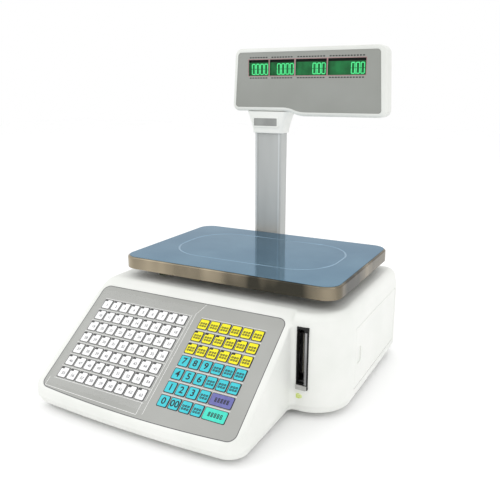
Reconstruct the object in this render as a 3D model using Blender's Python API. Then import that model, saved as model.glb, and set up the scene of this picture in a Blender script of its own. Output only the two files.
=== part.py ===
"""A counter scale with a label printer and a pole display, as a set of separate closed solids.

The sizes below are millimetres and the meshes are made in metres, +Z up. X runs to the
operator's right, Y away from the operator. The origin is on the counter, under the middle of
the whole scale's box. Each piece is an object of its own, and each moving piece has its
origin on the axis that it turns or slides on.
"""

import math

import bmesh
import bpy
from mathutils import Matrix, Vector

MM = 0.001
GAP = 0.3  # clearance between pieces that touch

# ---- Driving dimensions of the casing ----
HALF_WIDTH = 195.5
FRONT_Y, REAR_Y = -228.5, 196.5
FRONT_BOW = 6.0  # how far the middle of the front edge stands forward of its corners
WEDGE_RIGHT = 128.0  # right wall of the keyboard wedge
BAY_FRONT = -84.0  # front wall of the printer bay
FLOOR_Z, SPLIT_Z, TOP_Z = 8.0, 18.0, 147.0
WALL = 3.0
DECK_TILT = math.radians(35.3)
DECK_Y, DECK_Z = -225.5, 34.5  # front edge of the keyboard deck
DECK_OVER = 1.3  # how far the deck's cut runs past the wedge's right wall
FRONT_LEFT_CORNER, WEDGE_CORNER, BAY_CORNER, REAR_CORNER = 11.0, 24.0, 55.0, 18.0
BAY_FILLET = 8.0  # the inner corner between wedge and bay
LEAST_CORNER = 2.0
BOW_SHARES = (0.2, 0.4, 0.6, 0.8)  # where the bowed front edge has its corners
# Height of each level of the casing, and how far its outline lies inside the widest one.
TRAY_LEVELS = ((FLOOR_Z, 7.0), (11.0, 3.0), (SPLIT_Z, 1.0))
CASING_LEVELS = (
    (SPLIT_Z + GAP, 1.0),
    (26.0, 0.0),
    (118.0, 0.0),
    (131.0, 2.0),
    (139.0, 4.5),
    (144.0, 8.0),
    (TOP_Z, 14.0),
)

# ---- Keyboard ----
OVERLAY_X = (-185.7, 119.8)
OVERLAY_LENGTH = 176.5
OVERLAY_CORNER = 11.0
OVERLAY_THICK = 0.6
OVERLAY_TOP = -0.25  # from the deck's face, as the levels below
RECESS_LEVEL, MEMBRANE_LEVELS, BACKPLATE_LEVELS = -1.15, (-2.1, -1.15), (-4.2, -2.4)
MEMBRANE_INSET = 9.0
POCKET_THICK, POCKET_CORNER = 0.35, 4.0
POCKET_X = (-180.0, -12.0)
POCKET_S = (6.0, 168.0)

# ---- Weighing ----
PAN_X, PAN_Y = 3.6, 62.5
PAN_WIDTH, PAN_DEPTH, PAN_TOP, PAN_RIM = 350.0, 246.0, 180.0, 18.0
PAN_CORNER, PAN_SHEET = 25.0, 1.0
PAD_X, PAD_Y = 118.0, 78.0  # the four posts under the pan, from its middle
CELL_Y = (-5.0, 130.0)
CELL_Z = (30.0, 54.0)
CELL_HALF = 15.5
POST_Y = (102.0, 128.0)
CELL_BORE, CELL_BORE_OFFSET, CELL_WEB = 9.0, 16.0, 4.0
CHASSIS_HALF, CHASSIS_CENTRE, CHASSIS_Z = (102.0, 100.0), (-52.0, 66.0), (11.0, 14.0)
BLOCK_HALF, BASE_BLOCK_Y = 13.0, (-3.0, 25.0)
CROSS_HALF, CROSS_Y, CROSS_Z = 24.0, (32.0, 134.0), (152.0, 157.0)
ARM_Z, STEM_Z, STEM_RADIUS = (152.3, 156.7), (154.0, 171.0), 6.0
LEVEL_PLACE = (-120.0, -20.0)

# ---- Printer ----
ROLL_X, ROLL_Y, ROLL_RADIUS, CORE_RADIUS = 128.0, 95.0, 42.0, 15.6
LABEL_LOW, LABEL_HIGH = 58.0, 118.0
DECK_PLATE = (50.0, 52.0)
ARM_PLATE = (124.0, 126.0)
PLATEN_X, PLATEN_Y, PLATEN_RADIUS = 147.0, -62.0, 6.0
IDLER_X, IDLER_Y = 127.08, -50.5
PINION_X, PINION_Y = 107.08, -50.5
GEAR_Z = (39.0, 45.0)
MODULE, PLATEN_TEETH, IDLER_TEETH, PINION_TEETH = 1.0, 18, 28, 12
HEAD_PIVOT_X, HEAD_PIVOT_Y = 130.0, -18.0
LEVER_X, LEVER_Y = 118.0, -66.0
REWIND_X, REWIND_Y = 165.0, -4.0
GUIDE_X, GUIDE_Y = 147.0, 26.0
SLOT_X, SLOT_Z = (136.5, 145.5), (50.5, 127.5)
MOUTH_LOW, MOUTH_HIGH = (135.0, -85.4, 42.4), (151.0, -78.8, 130.1)
LEDGE_LOW, LEDGE_HIGH = (135.4, -88.4, 42.8), (150.6, -85.0, 49.4)
MOTOR_RADIUS, SHAFT_RADIUS, SHAFT_Z = 17.5, 1.5, (37.9, 47.0)
IDLER_BORE, PLATEN_BORE, IDLER_STUB = 2.6, 2.9, 2.2
FRAME_X, FRAME_Y, UPRIGHT_LOW = (70.0, 182.0), (-77.0, 166.0), 15.0

# ---- Printer door ----
DOOR_Y, DOOR_Z = (-22.0, 172.0), (27.0, 116.0)
DOOR_THICK = 3.4
HINGE_X, HINGE_Y = 193.5, 170.0
PIN_RADIUS, PIN_Z, GRIP_DEPTH = 1.1, (22.6, 120.4), 1.4
GRIP_Y, GRIP_Z, GRIP_CORNER = (-14.0, 2.0), (60.0, 84.0), 4.0

# ---- Rear sockets ----
INLET_X, INLET_Z = (100.0, 160.0), (30.0, 58.0)
PORTS_X, PORTS_Z = (20.0, 80.0), (30.0, 54.0)
SOCKET_HOLE_Y = (190.0, 200.0)
ROCKER_PIVOT, ROCKER_LEAN = (145.0, 193.0, 44.0), math.radians(7)

# ---- Pole and display ----
POLE_X, POLE_Y = -51.0, 214.5
POLE_WIDTH, POLE_DEPTH, POLE_WALL = 51.0, 28.0, 2.2
POLE_LOW, POLE_HIGH = 16.0, 378.0
SOCKET_REAR, SOCKET_HALF, SOCKET_Z = 234.5, 34.0, (11.0, 126.0)
CABLE_Z, SCREW_Z = 40.0, 90.0
NECK_WALL = 2.6
NECK_SECTIONS = (  # half width, half depth and height
    (28.8, 17.0, 353.0),
    (29.5, 17.4, 358.0),
    (32.0, 17.8, 370.0),
    (35.5, 18.2, 381.0),
    (39.0, 18.6, 390.0),
)
NECK_WINDOW_X, NECK_WINDOW_Z, NECK_FRAME_RIM = (-75.5, -31.5), (365.5, 378.5), 2.5
HEAD_FRONT, HEAD_MIDDLE, HEAD_REAR = 195.0, 214.5, 234.0
HEAD_TOP, HEAD_LOW_RIGHT, HEAD_LOW_LEFT = 494.0, 383.0, 390.5
HEAD_LEFT, HEAD_RIGHT = -118.0, 157.0  # at its lower corners
HEAD_STEP_X = (-10.0, 9.0)  # between the part on the neck and the lower part
HEAD_LEAN, HEAD_CORNER, HEAD_STEP_CORNER = 6.0, 12.0, 10.0
HEAD_WALL, PANEL_INSET = 2.6, 7.0
HEAD_ROUND = ((5.0, 0.0), (2.0, 1.2), (0.5, 4.0), (0.0, 8.0))  # inset and depth at its edge
WINDOW_Z = (449.0, 475.0)
WINDOWS_X = ((-85.5, -47.5), (-45.5, -0.5), (2.0, 56.5), (58.5, 122.0))
DISPLAY_NAMES = ("tare_lcd", "weight_lcd", "unit_price_lcd", "total_price_lcd")

# ---- Feet ----
FOOT_RADIUS, FOOT_STUD = 13.0, 3.5
FEET = {
    "foot_front_left": (-168.0, -196.0),
    "foot_front_right": (102.0, -196.0),
    "foot_rear_left": (-168.0, 170.0),
    "foot_rear_right": (160.0, 160.0),
}


# ---- Making meshes ----
def material(name, colour, roughness, metallic=0.0):
    """A Principled material, made once for each name."""
    made = bpy.data.materials.get(name)
    if made is None:
        made = bpy.data.materials.new(name)
        made.use_nodes = True
        shader = made.node_tree.nodes["Principled BSDF"]
        shader.inputs["Base Color"].default_value = (*colour, 1.0)
        shader.inputs["Roughness"].default_value = roughness
        shader.inputs["Metallic"].default_value = metallic
    return made


WHITE = material("white_abs", (0.86, 0.87, 0.85), 0.4)
GREY = material("grey_panel", (0.46, 0.47, 0.45), 0.45)
BLACK = material("black_plastic", (0.02, 0.02, 0.02), 0.5)
STEEL = material("stainless_steel", (0.62, 0.58, 0.52), 0.28, 1.0)
ZINC = material("zinc_plated_steel", (0.6, 0.6, 0.62), 0.4, 1.0)
ALUMINIUM = material("aluminium", (0.72, 0.73, 0.75), 0.4, 1.0)
COLUMN = material("column_grey", (0.52, 0.54, 0.55), 0.4, 0.6)
RUBBER = material("rubber", (0.03, 0.03, 0.03), 0.8)
BLUE_FILM = material("blue_film", (0.16, 0.34, 0.52), 0.12)
CLEAR = material("clear_film", (0.85, 0.88, 0.9), 0.1)
LCD = material("lcd_green", (0.02, 0.25, 0.1), 0.15)
BOARD = material("circuit_board", (0.02, 0.22, 0.1), 0.5)
PAPER = material("label_paper", (0.85, 0.84, 0.86), 0.7)
NYLON = material("gear_nylon", (0.8, 0.78, 0.7), 0.45)
LEVER_BLUE = material("lever_blue", (0.05, 0.2, 0.5), 0.4)


def finish(name, shape, look, origin=(0.0, 0.0, 0.0), smooth=True):
    """Makes the bmesh, in millimetres, an object whose own origin is at the given point."""
    bmesh.ops.translate(shape, verts=shape.verts, vec=-Vector(origin))
    bmesh.ops.scale(shape, verts=shape.verts, vec=(MM, MM, MM))
    bmesh.ops.recalc_face_normals(shape, faces=shape.faces)
    mesh = bpy.data.meshes.new(name)
    shape.to_mesh(mesh)
    shape.free()
    if smooth:
        mesh.shade_smooth()
        mesh.set_sharp_from_angle(angle=math.radians(35))
    obj = bpy.data.objects.new(name, mesh)
    obj.location = Vector(origin) * MM
    if look:
        mesh.materials.append(look)
    bpy.context.scene.collection.objects.link(obj)
    return obj


def loft(rings, closed=False):
    """A bmesh skin over rings of equally many points. Closed joins the last ring to the first."""
    shape = bmesh.new()
    made = [[shape.verts.new(p) for p in ring] for ring in rings]
    pairs = list(zip(made, made[1:]))
    if closed:
        pairs.append((made[-1], made[0]))
    else:
        shape.faces.new(made[0])
        shape.faces.new(made[-1])
    for low, high in pairs:
        for i in range(len(low)):
            j = (i + 1) % len(low)
            shape.faces.new((low[i], low[j], high[j], high[i]))
    return shape


def rounded(corners, steps=5):
    """A closed outline through (x, y, radius) corners, each corner turned into an arc."""
    points = []
    for i, (x, y, radius) in enumerate(corners):
        here = Vector((x, y))
        before = (Vector(corners[i - 1][:2]) - here).normalized()
        after = (Vector(corners[(i + 1) % len(corners)][:2]) - here).normalized()
        if radius <= 0:
            points.append(here)
            continue
        half = before.angle(after) / 2
        reach = radius / math.tan(half)
        start, end = here + before * reach, here + after * reach
        centre = here + (before + after).normalized() * (radius / math.sin(half))
        a, b = start - centre, end - centre
        turn = a.angle(b) * (1 if a.cross(b) > 0 else -1)
        for k in range(steps + 1):
            points.append(centre + Matrix.Rotation(turn * k / steps, 2) @ a)
    return points


def rectangle(half_x, half_y, radius, centre=(0.0, 0.0), steps=5):
    """A rounded rectangle about a centre, anticlockwise."""
    cx, cy = centre
    signs = ((-1, -1), (1, -1), (1, 1), (-1, 1))
    corners = [(cx + sx * half_x, cy + sy * half_y, radius) for sx, sy in signs]
    return rounded(corners, steps)


def circle(radius, centre=(0.0, 0.0), sides=20):
    """A regular outline of that many corners round a centre."""
    cx, cy = centre
    angles = [2 * math.pi * k / sides for k in range(sides)]
    return [Vector((cx + radius * math.cos(a), cy + radius * math.sin(a))) for a in angles]


def on_z(outline, z):
    return [(p[0], p[1], z) for p in outline]


def on_y(outline, y):
    return [(p[0], y, p[1]) for p in outline]


def on_x(outline, x):
    return [(x, p[0], p[1]) for p in outline]


def prism(name, outline, low, high, look, place=on_z, origin=(0.0, 0.0, 0.0)):
    """An outline drawn straight from low to high along the axis that place works on."""
    return finish(name, loft([place(outline, low), place(outline, high)]), look, origin)


def box(name, low, high, look, origin=(0.0, 0.0, 0.0)):
    """A plain block between two corners."""
    outline = [(low[0], low[1]), (high[0], low[1]), (high[0], high[1]), (low[0], high[1])]
    return prism(name, outline, low[2], high[2], look, origin=origin)


def turned(name, profile, centre, look, sides=20):
    """A closed solid turned about a vertical axis, from a profile of (radius, height) points."""
    rings = [on_z(circle(radius, centre, sides), height) for radius, height in profile]
    return finish(name, loft(rings), look, (*centre, 0.0))


def ring_solid(name, outer, inner, z_low, z_high, centre, look, sides=24):
    """A tube about a vertical axis."""
    rings = [
        on_z(circle(outer, centre, sides), z_low),
        on_z(circle(outer, centre, sides), z_high),
        on_z(circle(inner, centre, sides), z_high),
        on_z(circle(inner, centre, sides), z_low),
    ]
    return finish(name, loft(rings, closed=True), look, (*centre, 0.0))


def combine(target, other, operation="DIFFERENCE"):
    """Cuts the other object from the target, or joins it to it, and hides it as a helper."""
    modifier = target.modifiers.new(other.name, "BOOLEAN")
    modifier.operation = operation
    modifier.solver = "EXACT"
    modifier.object = other
    other.hide_render = True
    other.display_type = "WIRE"
    return target


def join(target, *others):
    for other in others:
        combine(target, other, "UNION")
    return target


def cut(target, *others):
    for other in others:
        combine(target, other)
    return target


# ---- Outlines that several pieces share ----
def casing_outline(inset):
    """The casing seen from above, with the printer bay set back beside the keyboard wedge."""
    left, right = -HALF_WIDTH + inset, HALF_WIDTH - inset
    front, rear = FRONT_Y + inset, REAR_Y - inset
    wedge = WEDGE_RIGHT - inset
    middle = (left + wedge) / 2
    corners = [(left, front, max(FRONT_LEFT_CORNER - inset, LEAST_CORNER))]
    for share in BOW_SHARES:
        x = left + (wedge - left) * share
        bow = FRONT_BOW * (1 - ((x - middle) / (wedge - middle)) ** 2)
        corners.append((x, front - bow, 0.0))
    corners += [
        (wedge, front, max(WEDGE_CORNER - inset, LEAST_CORNER)),
        (wedge, BAY_FRONT + inset, BAY_FILLET + inset),
        (right, BAY_FRONT + inset, max(BAY_CORNER - inset, LEAST_CORNER)),
        (right, rear, max(REAR_CORNER - inset, LEAST_CORNER)),
        (left, rear, max(REAR_CORNER - inset, LEAST_CORNER)),
    ]
    return rounded(corners)


def casing_loft(levels, extra=0.0):
    """A solid of the casing's shape over these levels, each drawn in by the extra inset."""
    return loft([on_z(casing_outline(inset + extra), z) for z, inset in levels])


def deck_point(x, along, above=0.0):
    """A point of the sloping deck: across, up the slope from its front edge, and off its face."""
    y = DECK_Y + along * math.cos(DECK_TILT) - above * math.sin(DECK_TILT)
    z = DECK_Z + along * math.sin(DECK_TILT) + above * math.cos(DECK_TILT)
    return (x, y, z)


def deck_prism(name, outline, low, high, look):
    """An outline in the deck's own plane, drawn from low to high off its face."""
    rings = [[deck_point(p[0], p[1], level) for p in outline] for level in (low, high)]
    return finish(name, loft(rings), look)


def overlay_outline(inset):
    """The keyboard face: a rounded rectangle whose front edge bows forward."""
    left, right = OVERLAY_X[0] + inset, OVERLAY_X[1] - inset
    middle = (left + right) / 2
    radius = max(OVERLAY_CORNER - inset, 1.0)
    corners = [(left, inset, radius)]
    for share in BOW_SHARES:
        x = left + (right - left) * share
        bow = FRONT_BOW * (1 - ((x - middle) / (right - middle)) ** 2)
        corners.append((x, inset - bow, 0.0))
    back = OVERLAY_LENGTH - inset
    corners += [(right, inset, radius), (right, back, radius), (left, back, radius)]
    return rounded(corners)


def head_outline(inset):
    """The display head seen from the front. Its right part hangs lower than the part on the neck."""
    left, right = HEAD_LEFT + inset, HEAD_RIGHT - inset
    low_left, low_right = HEAD_LOW_LEFT + inset, HEAD_LOW_RIGHT + inset
    radius = max(HEAD_CORNER - inset, LEAST_CORNER)
    return rounded(
        [
            (left, low_left, radius),
            (HEAD_STEP_X[0], low_left, HEAD_STEP_CORNER),
            (HEAD_STEP_X[1], low_right, HEAD_STEP_CORNER),
            (right, low_right, radius),
            (right - HEAD_LEAN, HEAD_TOP - inset, radius),
            (left + HEAD_LEAN, HEAD_TOP - inset, radius),
        ],
        steps=4,
    )


# ---- Casing ----
def bottom_tray():
    """The shallow white tray under the whole scale, with a hole for each foot's stud."""
    tray = finish("bottom_tray", casing_loft(TRAY_LEVELS), WHITE)
    hollow = finish("tray_hollow", casing_loft(((10.5, 3.0), (SPLIT_Z + 5.0, 3.0)), 1.0), None)
    cut(tray, hollow)
    for name, place in FEET.items():
        cut(tray, prism(name + "_hole", circle(4.2, place, 16), 0.0, 14.0, None))
    return tray


def deck_cutter(name, above, front):
    """All that lies above the keyboard deck, left of the printer bay."""
    outline = [(-260.0, -80.0), (front, -80.0), (front, 260.0), (-260.0, 260.0)]
    return deck_prism(name, outline, above, 260.0, None)


def rear_hole(name, across, height):
    """A socket's hole through the rear wall, with the clearance all round."""
    low = (across[0] - GAP, SOCKET_HOLE_Y[0], height[0] - GAP)
    high = (across[1] + GAP, SOCKET_HOLE_Y[1], height[1] + GAP)
    return box(name, low, high, None)


def upper_housing():
    """The white top casing: keyboard deck, platform under the pan and walls of the bay."""
    housing = finish("upper_housing", casing_loft(CASING_LEVELS), WHITE)
    hollow_levels = ((10.0, 1.0), *CASING_LEVELS[1:-1])
    hollow_levels = [(min(z, TOP_Z - WALL), d) for z, d in hollow_levels]
    hollow = finish("casing_hollow", casing_loft(hollow_levels, WALL), None)
    cut(hollow, deck_cutter("inner_deck_cut", -WALL, WEDGE_RIGHT + DECK_OVER + WALL))
    cut(housing, hollow, deck_cutter("deck_cut", 0.0, WEDGE_RIGHT + DECK_OVER))
    cut(
        housing,
        deck_prism("overlay_recess", overlay_outline(-0.4), RECESS_LEVEL, 6.0, None),
        deck_prism("membrane_window", overlay_outline(8.0), -9.0, 6.0, None),
        box("post_hole", (PAN_X - 21.0, 90.0, 130.0), (PAN_X + 21.0, 140.0, 160.0), None),
        box("slot_hole", (134.6, -95.0, 42.0), (151.4, -70.0, 130.5), None),
        rear_hole("inlet_hole", INLET_X, INLET_Z),
        rear_hole("ports_hole", PORTS_X, PORTS_Z),
        box(
            "door_hole",
            (187.0, DOOR_Y[0] - 0.6, DOOR_Z[0] - 0.5),
            (200.0, DOOR_Y[1] + 0.6, DOOR_Z[1] + 0.5),
            None,
        ),
        prism("cable_hole", circle(7.0, (POLE_X, CABLE_Z), 12), *SOCKET_HOLE_Y, None, on_y),
        prism("level_hole", circle(9.3, LEVEL_PLACE, 20), 140.0, 150.0, None),
    )
    lug_low = box("lug_low", (188.0, 163.0, 20.0), (194.8, 177.0, DOOR_Z[0] - 0.8), None)
    lug_high = box("lug_high", (188.0, 163.0, DOOR_Z[1] + 0.8), (194.8, 177.0, 123.0), None)
    join(housing, lug_low, lug_high)
    cut(
        housing,
        prism("pin_hole_low", circle(1.5, (HINGE_X, HINGE_Y), 12), 22.0, 30.0, None),
        prism("pin_hole_high", circle(1.5, (HINGE_X, HINGE_Y), 12), 113.0, 121.5, None),
    )
    return housing


def chassis_plate():
    """The pressed steel plate that the load cell stands on."""
    outline = rectangle(*CHASSIS_HALF, 10.0, CHASSIS_CENTRE, 3)
    return prism("chassis_plate", outline, *CHASSIS_Z, ZINC)


def level_vial():
    """The round bubble level, let into the platform under the pan."""
    profile = ((7.0, 139.0), (9.0, 139.0), (9.0, 147.6), (7.0, 149.0))
    return turned("level_vial", profile, LEVEL_PLACE, CLEAR)


def feet():
    """Four levelling feet: a rubber disc on a threaded stud."""
    r, stud = FOOT_RADIUS, FOOT_STUD
    profile = ((r - 1, 0.0), (r, 1.0), (r, 4.5), (r - 2, 6.5), (stud, 6.6), (stud, 20.0))
    for name, place in FEET.items():
        turned(name, profile, place, RUBBER)


# ---- Keyboard ----
def keyboard():
    """Face sheet, switch membrane and backing plate, with a clear pocket over the preset keys."""
    top, over = OVERLAY_TOP, OVERLAY_TOP + GAP
    deck_prism("keypad_overlay", overlay_outline(0.0), top - OVERLAY_THICK, top, GREY)
    window = overlay_outline(MEMBRANE_INSET)
    deck_prism("keypad_membrane", window, *MEMBRANE_LEVELS, CLEAR)
    deck_prism("keypad_backplate", window, *BACKPLATE_LEVELS, ZINC)
    outline = rounded(
        [
            (POCKET_X[0], POCKET_S[0], POCKET_CORNER),
            (POCKET_X[1], POCKET_S[0], POCKET_CORNER),
            (POCKET_X[1], POCKET_S[1], POCKET_CORNER),
            (POCKET_X[0], POCKET_S[1], POCKET_CORNER),
        ],
        steps=3,
    )
    deck_prism("preset_pocket_film", outline, over, over + POCKET_THICK, CLEAR)


# ---- Weighing ----
def load_cell():
    """The aluminium single-point cell: a bar with two joined holes through its middle."""
    middle = (CELL_Y[0] + CELL_Y[1]) / 2
    low, high = PAN_X - CELL_HALF, PAN_X + CELL_HALF
    through = (low - 5.0, high + 5.0)
    cell = box("load_cell", (low, CELL_Y[0], CELL_Z[0]), (high, CELL_Y[1], CELL_Z[1]), ALUMINIUM)
    height = (CELL_Z[0] + CELL_Z[1]) / 2
    for side in (-1, 1):
        bore = circle(CELL_BORE, (middle + side * CELL_BORE_OFFSET, height), 16)
        cut(cell, prism(f"cell_hole_{side}", bore, *through, None, on_x))
    web = rectangle(CELL_BORE_OFFSET, CELL_WEB, 0.0, (middle, height))
    return cut(cell, prism("cell_web", web, *through, None, on_x))


def weighing_frame():
    """The blocks under and on the cell, and the cross that carries the pan on four pads."""
    low, high = PAN_X - BLOCK_HALF, PAN_X + BLOCK_HALF
    base = (low, BASE_BLOCK_Y[0], CHASSIS_Z[1] + GAP), (high, BASE_BLOCK_Y[1], CELL_Z[0] - GAP)
    box("cell_base_block", *base, ZINC)
    post = (low, POST_Y[0], CELL_Z[1] + GAP), (high, POST_Y[1], CROSS_Z[0] - GAP)
    box("cell_post", *post, ZINC)
    low, high = PAN_X - CROSS_HALF, PAN_X + CROSS_HALF
    middle = (low, CROSS_Y[0], CROSS_Z[0]), (high, CROSS_Y[1], CROSS_Z[1])
    cross = box("pan_support", *middle, ALUMINIUM)
    for i, (sx, sy) in enumerate(((-1, -1), (1, -1), (1, 1), (-1, 1))):
        x, y = PAN_X + sx * PAD_X, PAN_Y + sy * PAD_Y
        direction = Vector((sx * PAD_X, sy * PAD_Y)).normalized()
        across = Vector((-direction.y, direction.x)) * 8.0
        start = Vector((PAN_X + sx * 10.0, PAN_Y + sy * 10.0))
        end = Vector((x, y)) + direction * 6.0
        outline = [start - across, end - across * 0.8, end + across * 0.8, start + across]
        arm = prism(f"arm_{i}", outline, *ARM_Z, None)
        stem = prism(f"stem_{i}", circle(STEM_RADIUS, (x, y), 12), *STEM_Z, None)
        join(cross, arm, stem)
        profile = ((8.0, STEM_Z[1] + GAP), (9.0, 173.0), (8.0, 178.6))
        turned(f"support_pad_{i + 1}", profile, (x, y), RUBBER, 12)


def weighing_pan():
    """The pressed stainless tray, and the blue film that its face is still covered with."""
    low = PAN_TOP - PAN_RIM
    half_x, half_y, sheet = PAN_WIDTH / 2, PAN_DEPTH / 2, PAN_SHEET
    sections = (
        (3.0, PAN_TOP),
        (1.0, PAN_TOP - 0.8),
        (0.0, PAN_TOP - 3.0),
        (0.0, low),
        (sheet, low),
        (sheet, PAN_TOP - 3.4),
        (1.0 + sheet, PAN_TOP - 0.8 - sheet),
        (3.0 + sheet, PAN_TOP - sheet),
    )
    centre = (PAN_X, PAN_Y)
    rings = [
        on_z(rectangle(half_x - d, half_y - d, PAN_CORNER - d, centre, 6), z) for d, z in sections
    ]
    finish("weighing_pan", loft(rings), STEEL, (PAN_X, PAN_Y, PAN_TOP))
    film = rectangle(half_x - 3.0, half_y - 3.0, PAN_CORNER - 3.0, centre, 6)
    low, high = PAN_TOP + GAP, PAN_TOP + GAP + 0.25
    prism("pan_film", film, low, high, BLUE_FILM, origin=(PAN_X, PAN_Y, PAN_TOP))


# ---- Printer ----
def gear_outline(teeth, phase, centre, clearance=0.14):
    """An involute gear's outline, thinned on each flank by the clearance."""
    pitch = MODULE * teeth / 2
    base = pitch * math.cos(math.radians(20))
    tip, root = pitch + 0.85 * MODULE, pitch - 1.2 * MODULE
    spread = math.tan(math.radians(20)) - math.radians(20)

    def half_angle(radius):
        turn = math.acos(min(1.0, base / max(radius, base)))
        return math.pi / (2 * teeth) - clearance / pitch + spread - (math.tan(turn) - turn)

    radii = (root, pitch, tip)
    points = []
    for tooth in range(teeth):
        middle = phase + 2 * math.pi * tooth / teeth
        for side, order in ((-1, radii), (1, radii[::-1])):
            for radius in order:
                angle = middle + side * half_angle(radius)
                points.append(Vector(centre) + radius * Vector((math.cos(angle), math.sin(angle))))
    return points


def gears():
    """The train from the motor, by way of the idler, to the platen roller."""
    idler, platen = Vector((IDLER_X, IDLER_Y)), Vector((PLATEN_X, PLATEN_Y))
    pinion = Vector((PINION_X, PINION_Y))
    to_platen = math.atan2(*(platen - idler).yx)
    to_pinion = math.atan2(*(pinion - idler).yx)
    idler_phase = to_platen
    platen_phase = to_platen + math.pi + math.pi / PLATEN_TEETH
    tooth = 2 * math.pi / IDLER_TEETH
    offset = (idler_phase - to_pinion) % tooth
    pinion_phase = (
        to_pinion + math.pi - offset * IDLER_TEETH / PINION_TEETH + math.pi / PINION_TEETH
    )
    for name, teeth, phase, centre, bore in (
        ("platen_gear", PLATEN_TEETH, platen_phase, platen, PLATEN_BORE),
        ("idler_gear", IDLER_TEETH, idler_phase, idler, IDLER_BORE),
        ("motor_pinion", PINION_TEETH, pinion_phase, pinion, 0.0),
    ):
        outline = gear_outline(teeth, phase, centre)
        gear = prism(name, outline, *GEAR_Z, NYLON, origin=(*centre, 0.0))
        if bore:
            cut(gear, prism(name + "_bore", circle(bore, centre, 16), 30.0, 60.0, None))
        else:
            join(gear, prism("motor_shaft", circle(SHAFT_RADIUS, centre, 12), *SHAFT_Z, None))


def printer_frame():
    """The folded sheet-metal frame: deck under the roll, upright, and arm over the platen."""
    (left, right), (front, rear) = FRAME_X, FRAME_Y
    deck = [
        (left + 2.0, front),
        (right - 28.0, front),
        (right, front + 35.0),
        (right, rear),
        (left + 2.0, rear),
    ]
    frame = prism("printer_frame", deck, *DECK_PLATE, ZINC)
    upright = box("upright", (left, front, UPRIGHT_LOW), (left + 2.5, rear, ARM_PLATE[1]), None)
    arm = box("arm", (left + 0.5, front + 0.5, ARM_PLATE[0]), (152.5, -6.0, ARM_PLATE[1]), None)
    stub = prism("idler_stub", circle(IDLER_STUB, (IDLER_X, IDLER_Y), 16), 37.0, 51.0, None)
    join(frame, upright, arm, stub)
    for name, centre, radius in (
        ("platen_way", (PLATEN_X, PLATEN_Y), 3.0),
        ("pivot_way", (HEAD_PIVOT_X, HEAD_PIVOT_Y), 2.5),
        ("rewind_way", (REWIND_X, REWIND_Y), 3.5),
        ("supply_way", (ROLL_X, ROLL_Y), 4.5),
        ("guide_way", (GUIDE_X, GUIDE_Y), 2.5),
    ):
        cut(frame, prism(name, circle(radius, centre, 16), 45.0, 54.0, None))
    cut(
        frame,
        prism("platen_way_up", circle(3.0, (PLATEN_X, PLATEN_Y), 16), 120.0, 130.0, None),
        prism("pivot_way_up", circle(2.5, (HEAD_PIVOT_X, HEAD_PIVOT_Y), 16), 120.0, 130.0, None),
        prism("lever_way", circle(3.4, (LEVER_X, LEVER_Y), 16), 120.0, 130.0, None),
    )
    return frame


def platen():
    """The rubber roller that drives the web, on its steel shaft."""
    centre = (PLATEN_X, PLATEN_Y)
    turned("platen_shaft", ((2.4, 37.5), (2.4, 126.6)), centre, STEEL, 16)
    ring_solid("platen_roller", PLATEN_RADIUS, 2.8, LABEL_LOW - 1, LABEL_HIGH + 2, centre, RUBBER, 20)


def stepper_motor():
    """The can of the stepper motor under the deck, with its shaft up through the pinion."""
    centre = (PINION_X, PINION_Y)
    r, boss = MOTOR_RADIUS, 5.0
    profile = ((r - 1, 15.0), (r, 16.0), (r, 35.0), (r - 1, 36.0), (boss, 36.2), (boss, 37.6))
    turned("stepper_motor", profile, centre, ZINC, 24)


def print_head():
    """The sprung carrier that swings the thermal head against the platen, and its lever."""
    pivot = (HEAD_PIVOT_X, HEAD_PIVOT_Y, 0.0)
    carrier = box("head_carrier", (131.0, -70.0, 60.0), (134.0, -16.0, 117.0), ZINC, origin=pivot)
    barrel = prism("carrier_barrel", circle(3.6, pivot[:2], 16), 54.0, 122.0, None)
    pin = prism("carrier_pin", circle(2.0, pivot[:2], 16), 47.0, 127.0, None)
    join(carrier, barrel, pin)
    outline = rounded(
        [
            (134.3, -70.0, 1.0),
            (138.0, -70.0, 1.0),
            (140.4, -63.0, 1.0),
            (140.4, -60.5, 1.0),
            (138.0, -54.0, 1.0),
            (134.3, -54.0, 1.0),
        ],
        steps=2,
    )
    prism("thermal_head", outline, LABEL_LOW, LABEL_HIGH, BLACK, origin=pivot)
    centre = (LEVER_X, LEVER_Y)
    arm = rounded(
        [
            (LEVER_X - 6.0, LEVER_Y - 5.0, 4.0),
            (160.0, -70.0, 4.0),
            (160.0, -60.0, 4.0),
            (LEVER_X - 6.0, -60.0, 4.0),
        ],
        steps=4,
    )
    lever = prism("release_lever", arm, 127.2, 132.0, LEVER_BLUE, origin=(*centre, 0.0))
    join(lever, prism("lever_stem", circle(3.0, centre, 16), 118.0, 129.0, None))


def spools():
    """The hub that the label roll sits on, the guide roller and the liner's rewind spool."""
    supply = (ROLL_X, ROLL_Y)
    z = DECK_PLATE[1]
    profile = (
        (4.0, 44.0),
        (4.0, z + 0.6),
        (38.0, z + 0.6),
        (38.0, 55.0),
        (15.0, 55.2),
        (15.0, 128.0),
        (12.0, 131.0),
    )
    turned("supply_hub", profile, supply, BLACK, 24)
    ring_solid("label_roll", ROLL_RADIUS, CORE_RADIUS, LABEL_LOW, LABEL_HIGH, supply, PAPER, 28)
    rewind = (REWIND_X, REWIND_Y)
    profile = (
        (3.0, 44.0),
        (3.0, z + 0.6),
        (17.5, z + 0.6),
        (17.5, 54.6),
        (8.5, 54.8),
        (7.0, 120.0),
        (5.5, 122.0),
    )
    turned("rewind_spool", profile, rewind, BLACK)
    profile = (
        (2.0, 46.0),
        (2.0, z + 0.6),
        (5.0, z + 0.6),
        (5.0, 54.0),
        (3.5, 55.0),
        (3.5, 120.0),
        (5.0, 121.0),
        (5.0, 122.5),
    )
    turned("guide_roller", profile, (GUIDE_X, GUIDE_Y), STEEL, 16)


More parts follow.
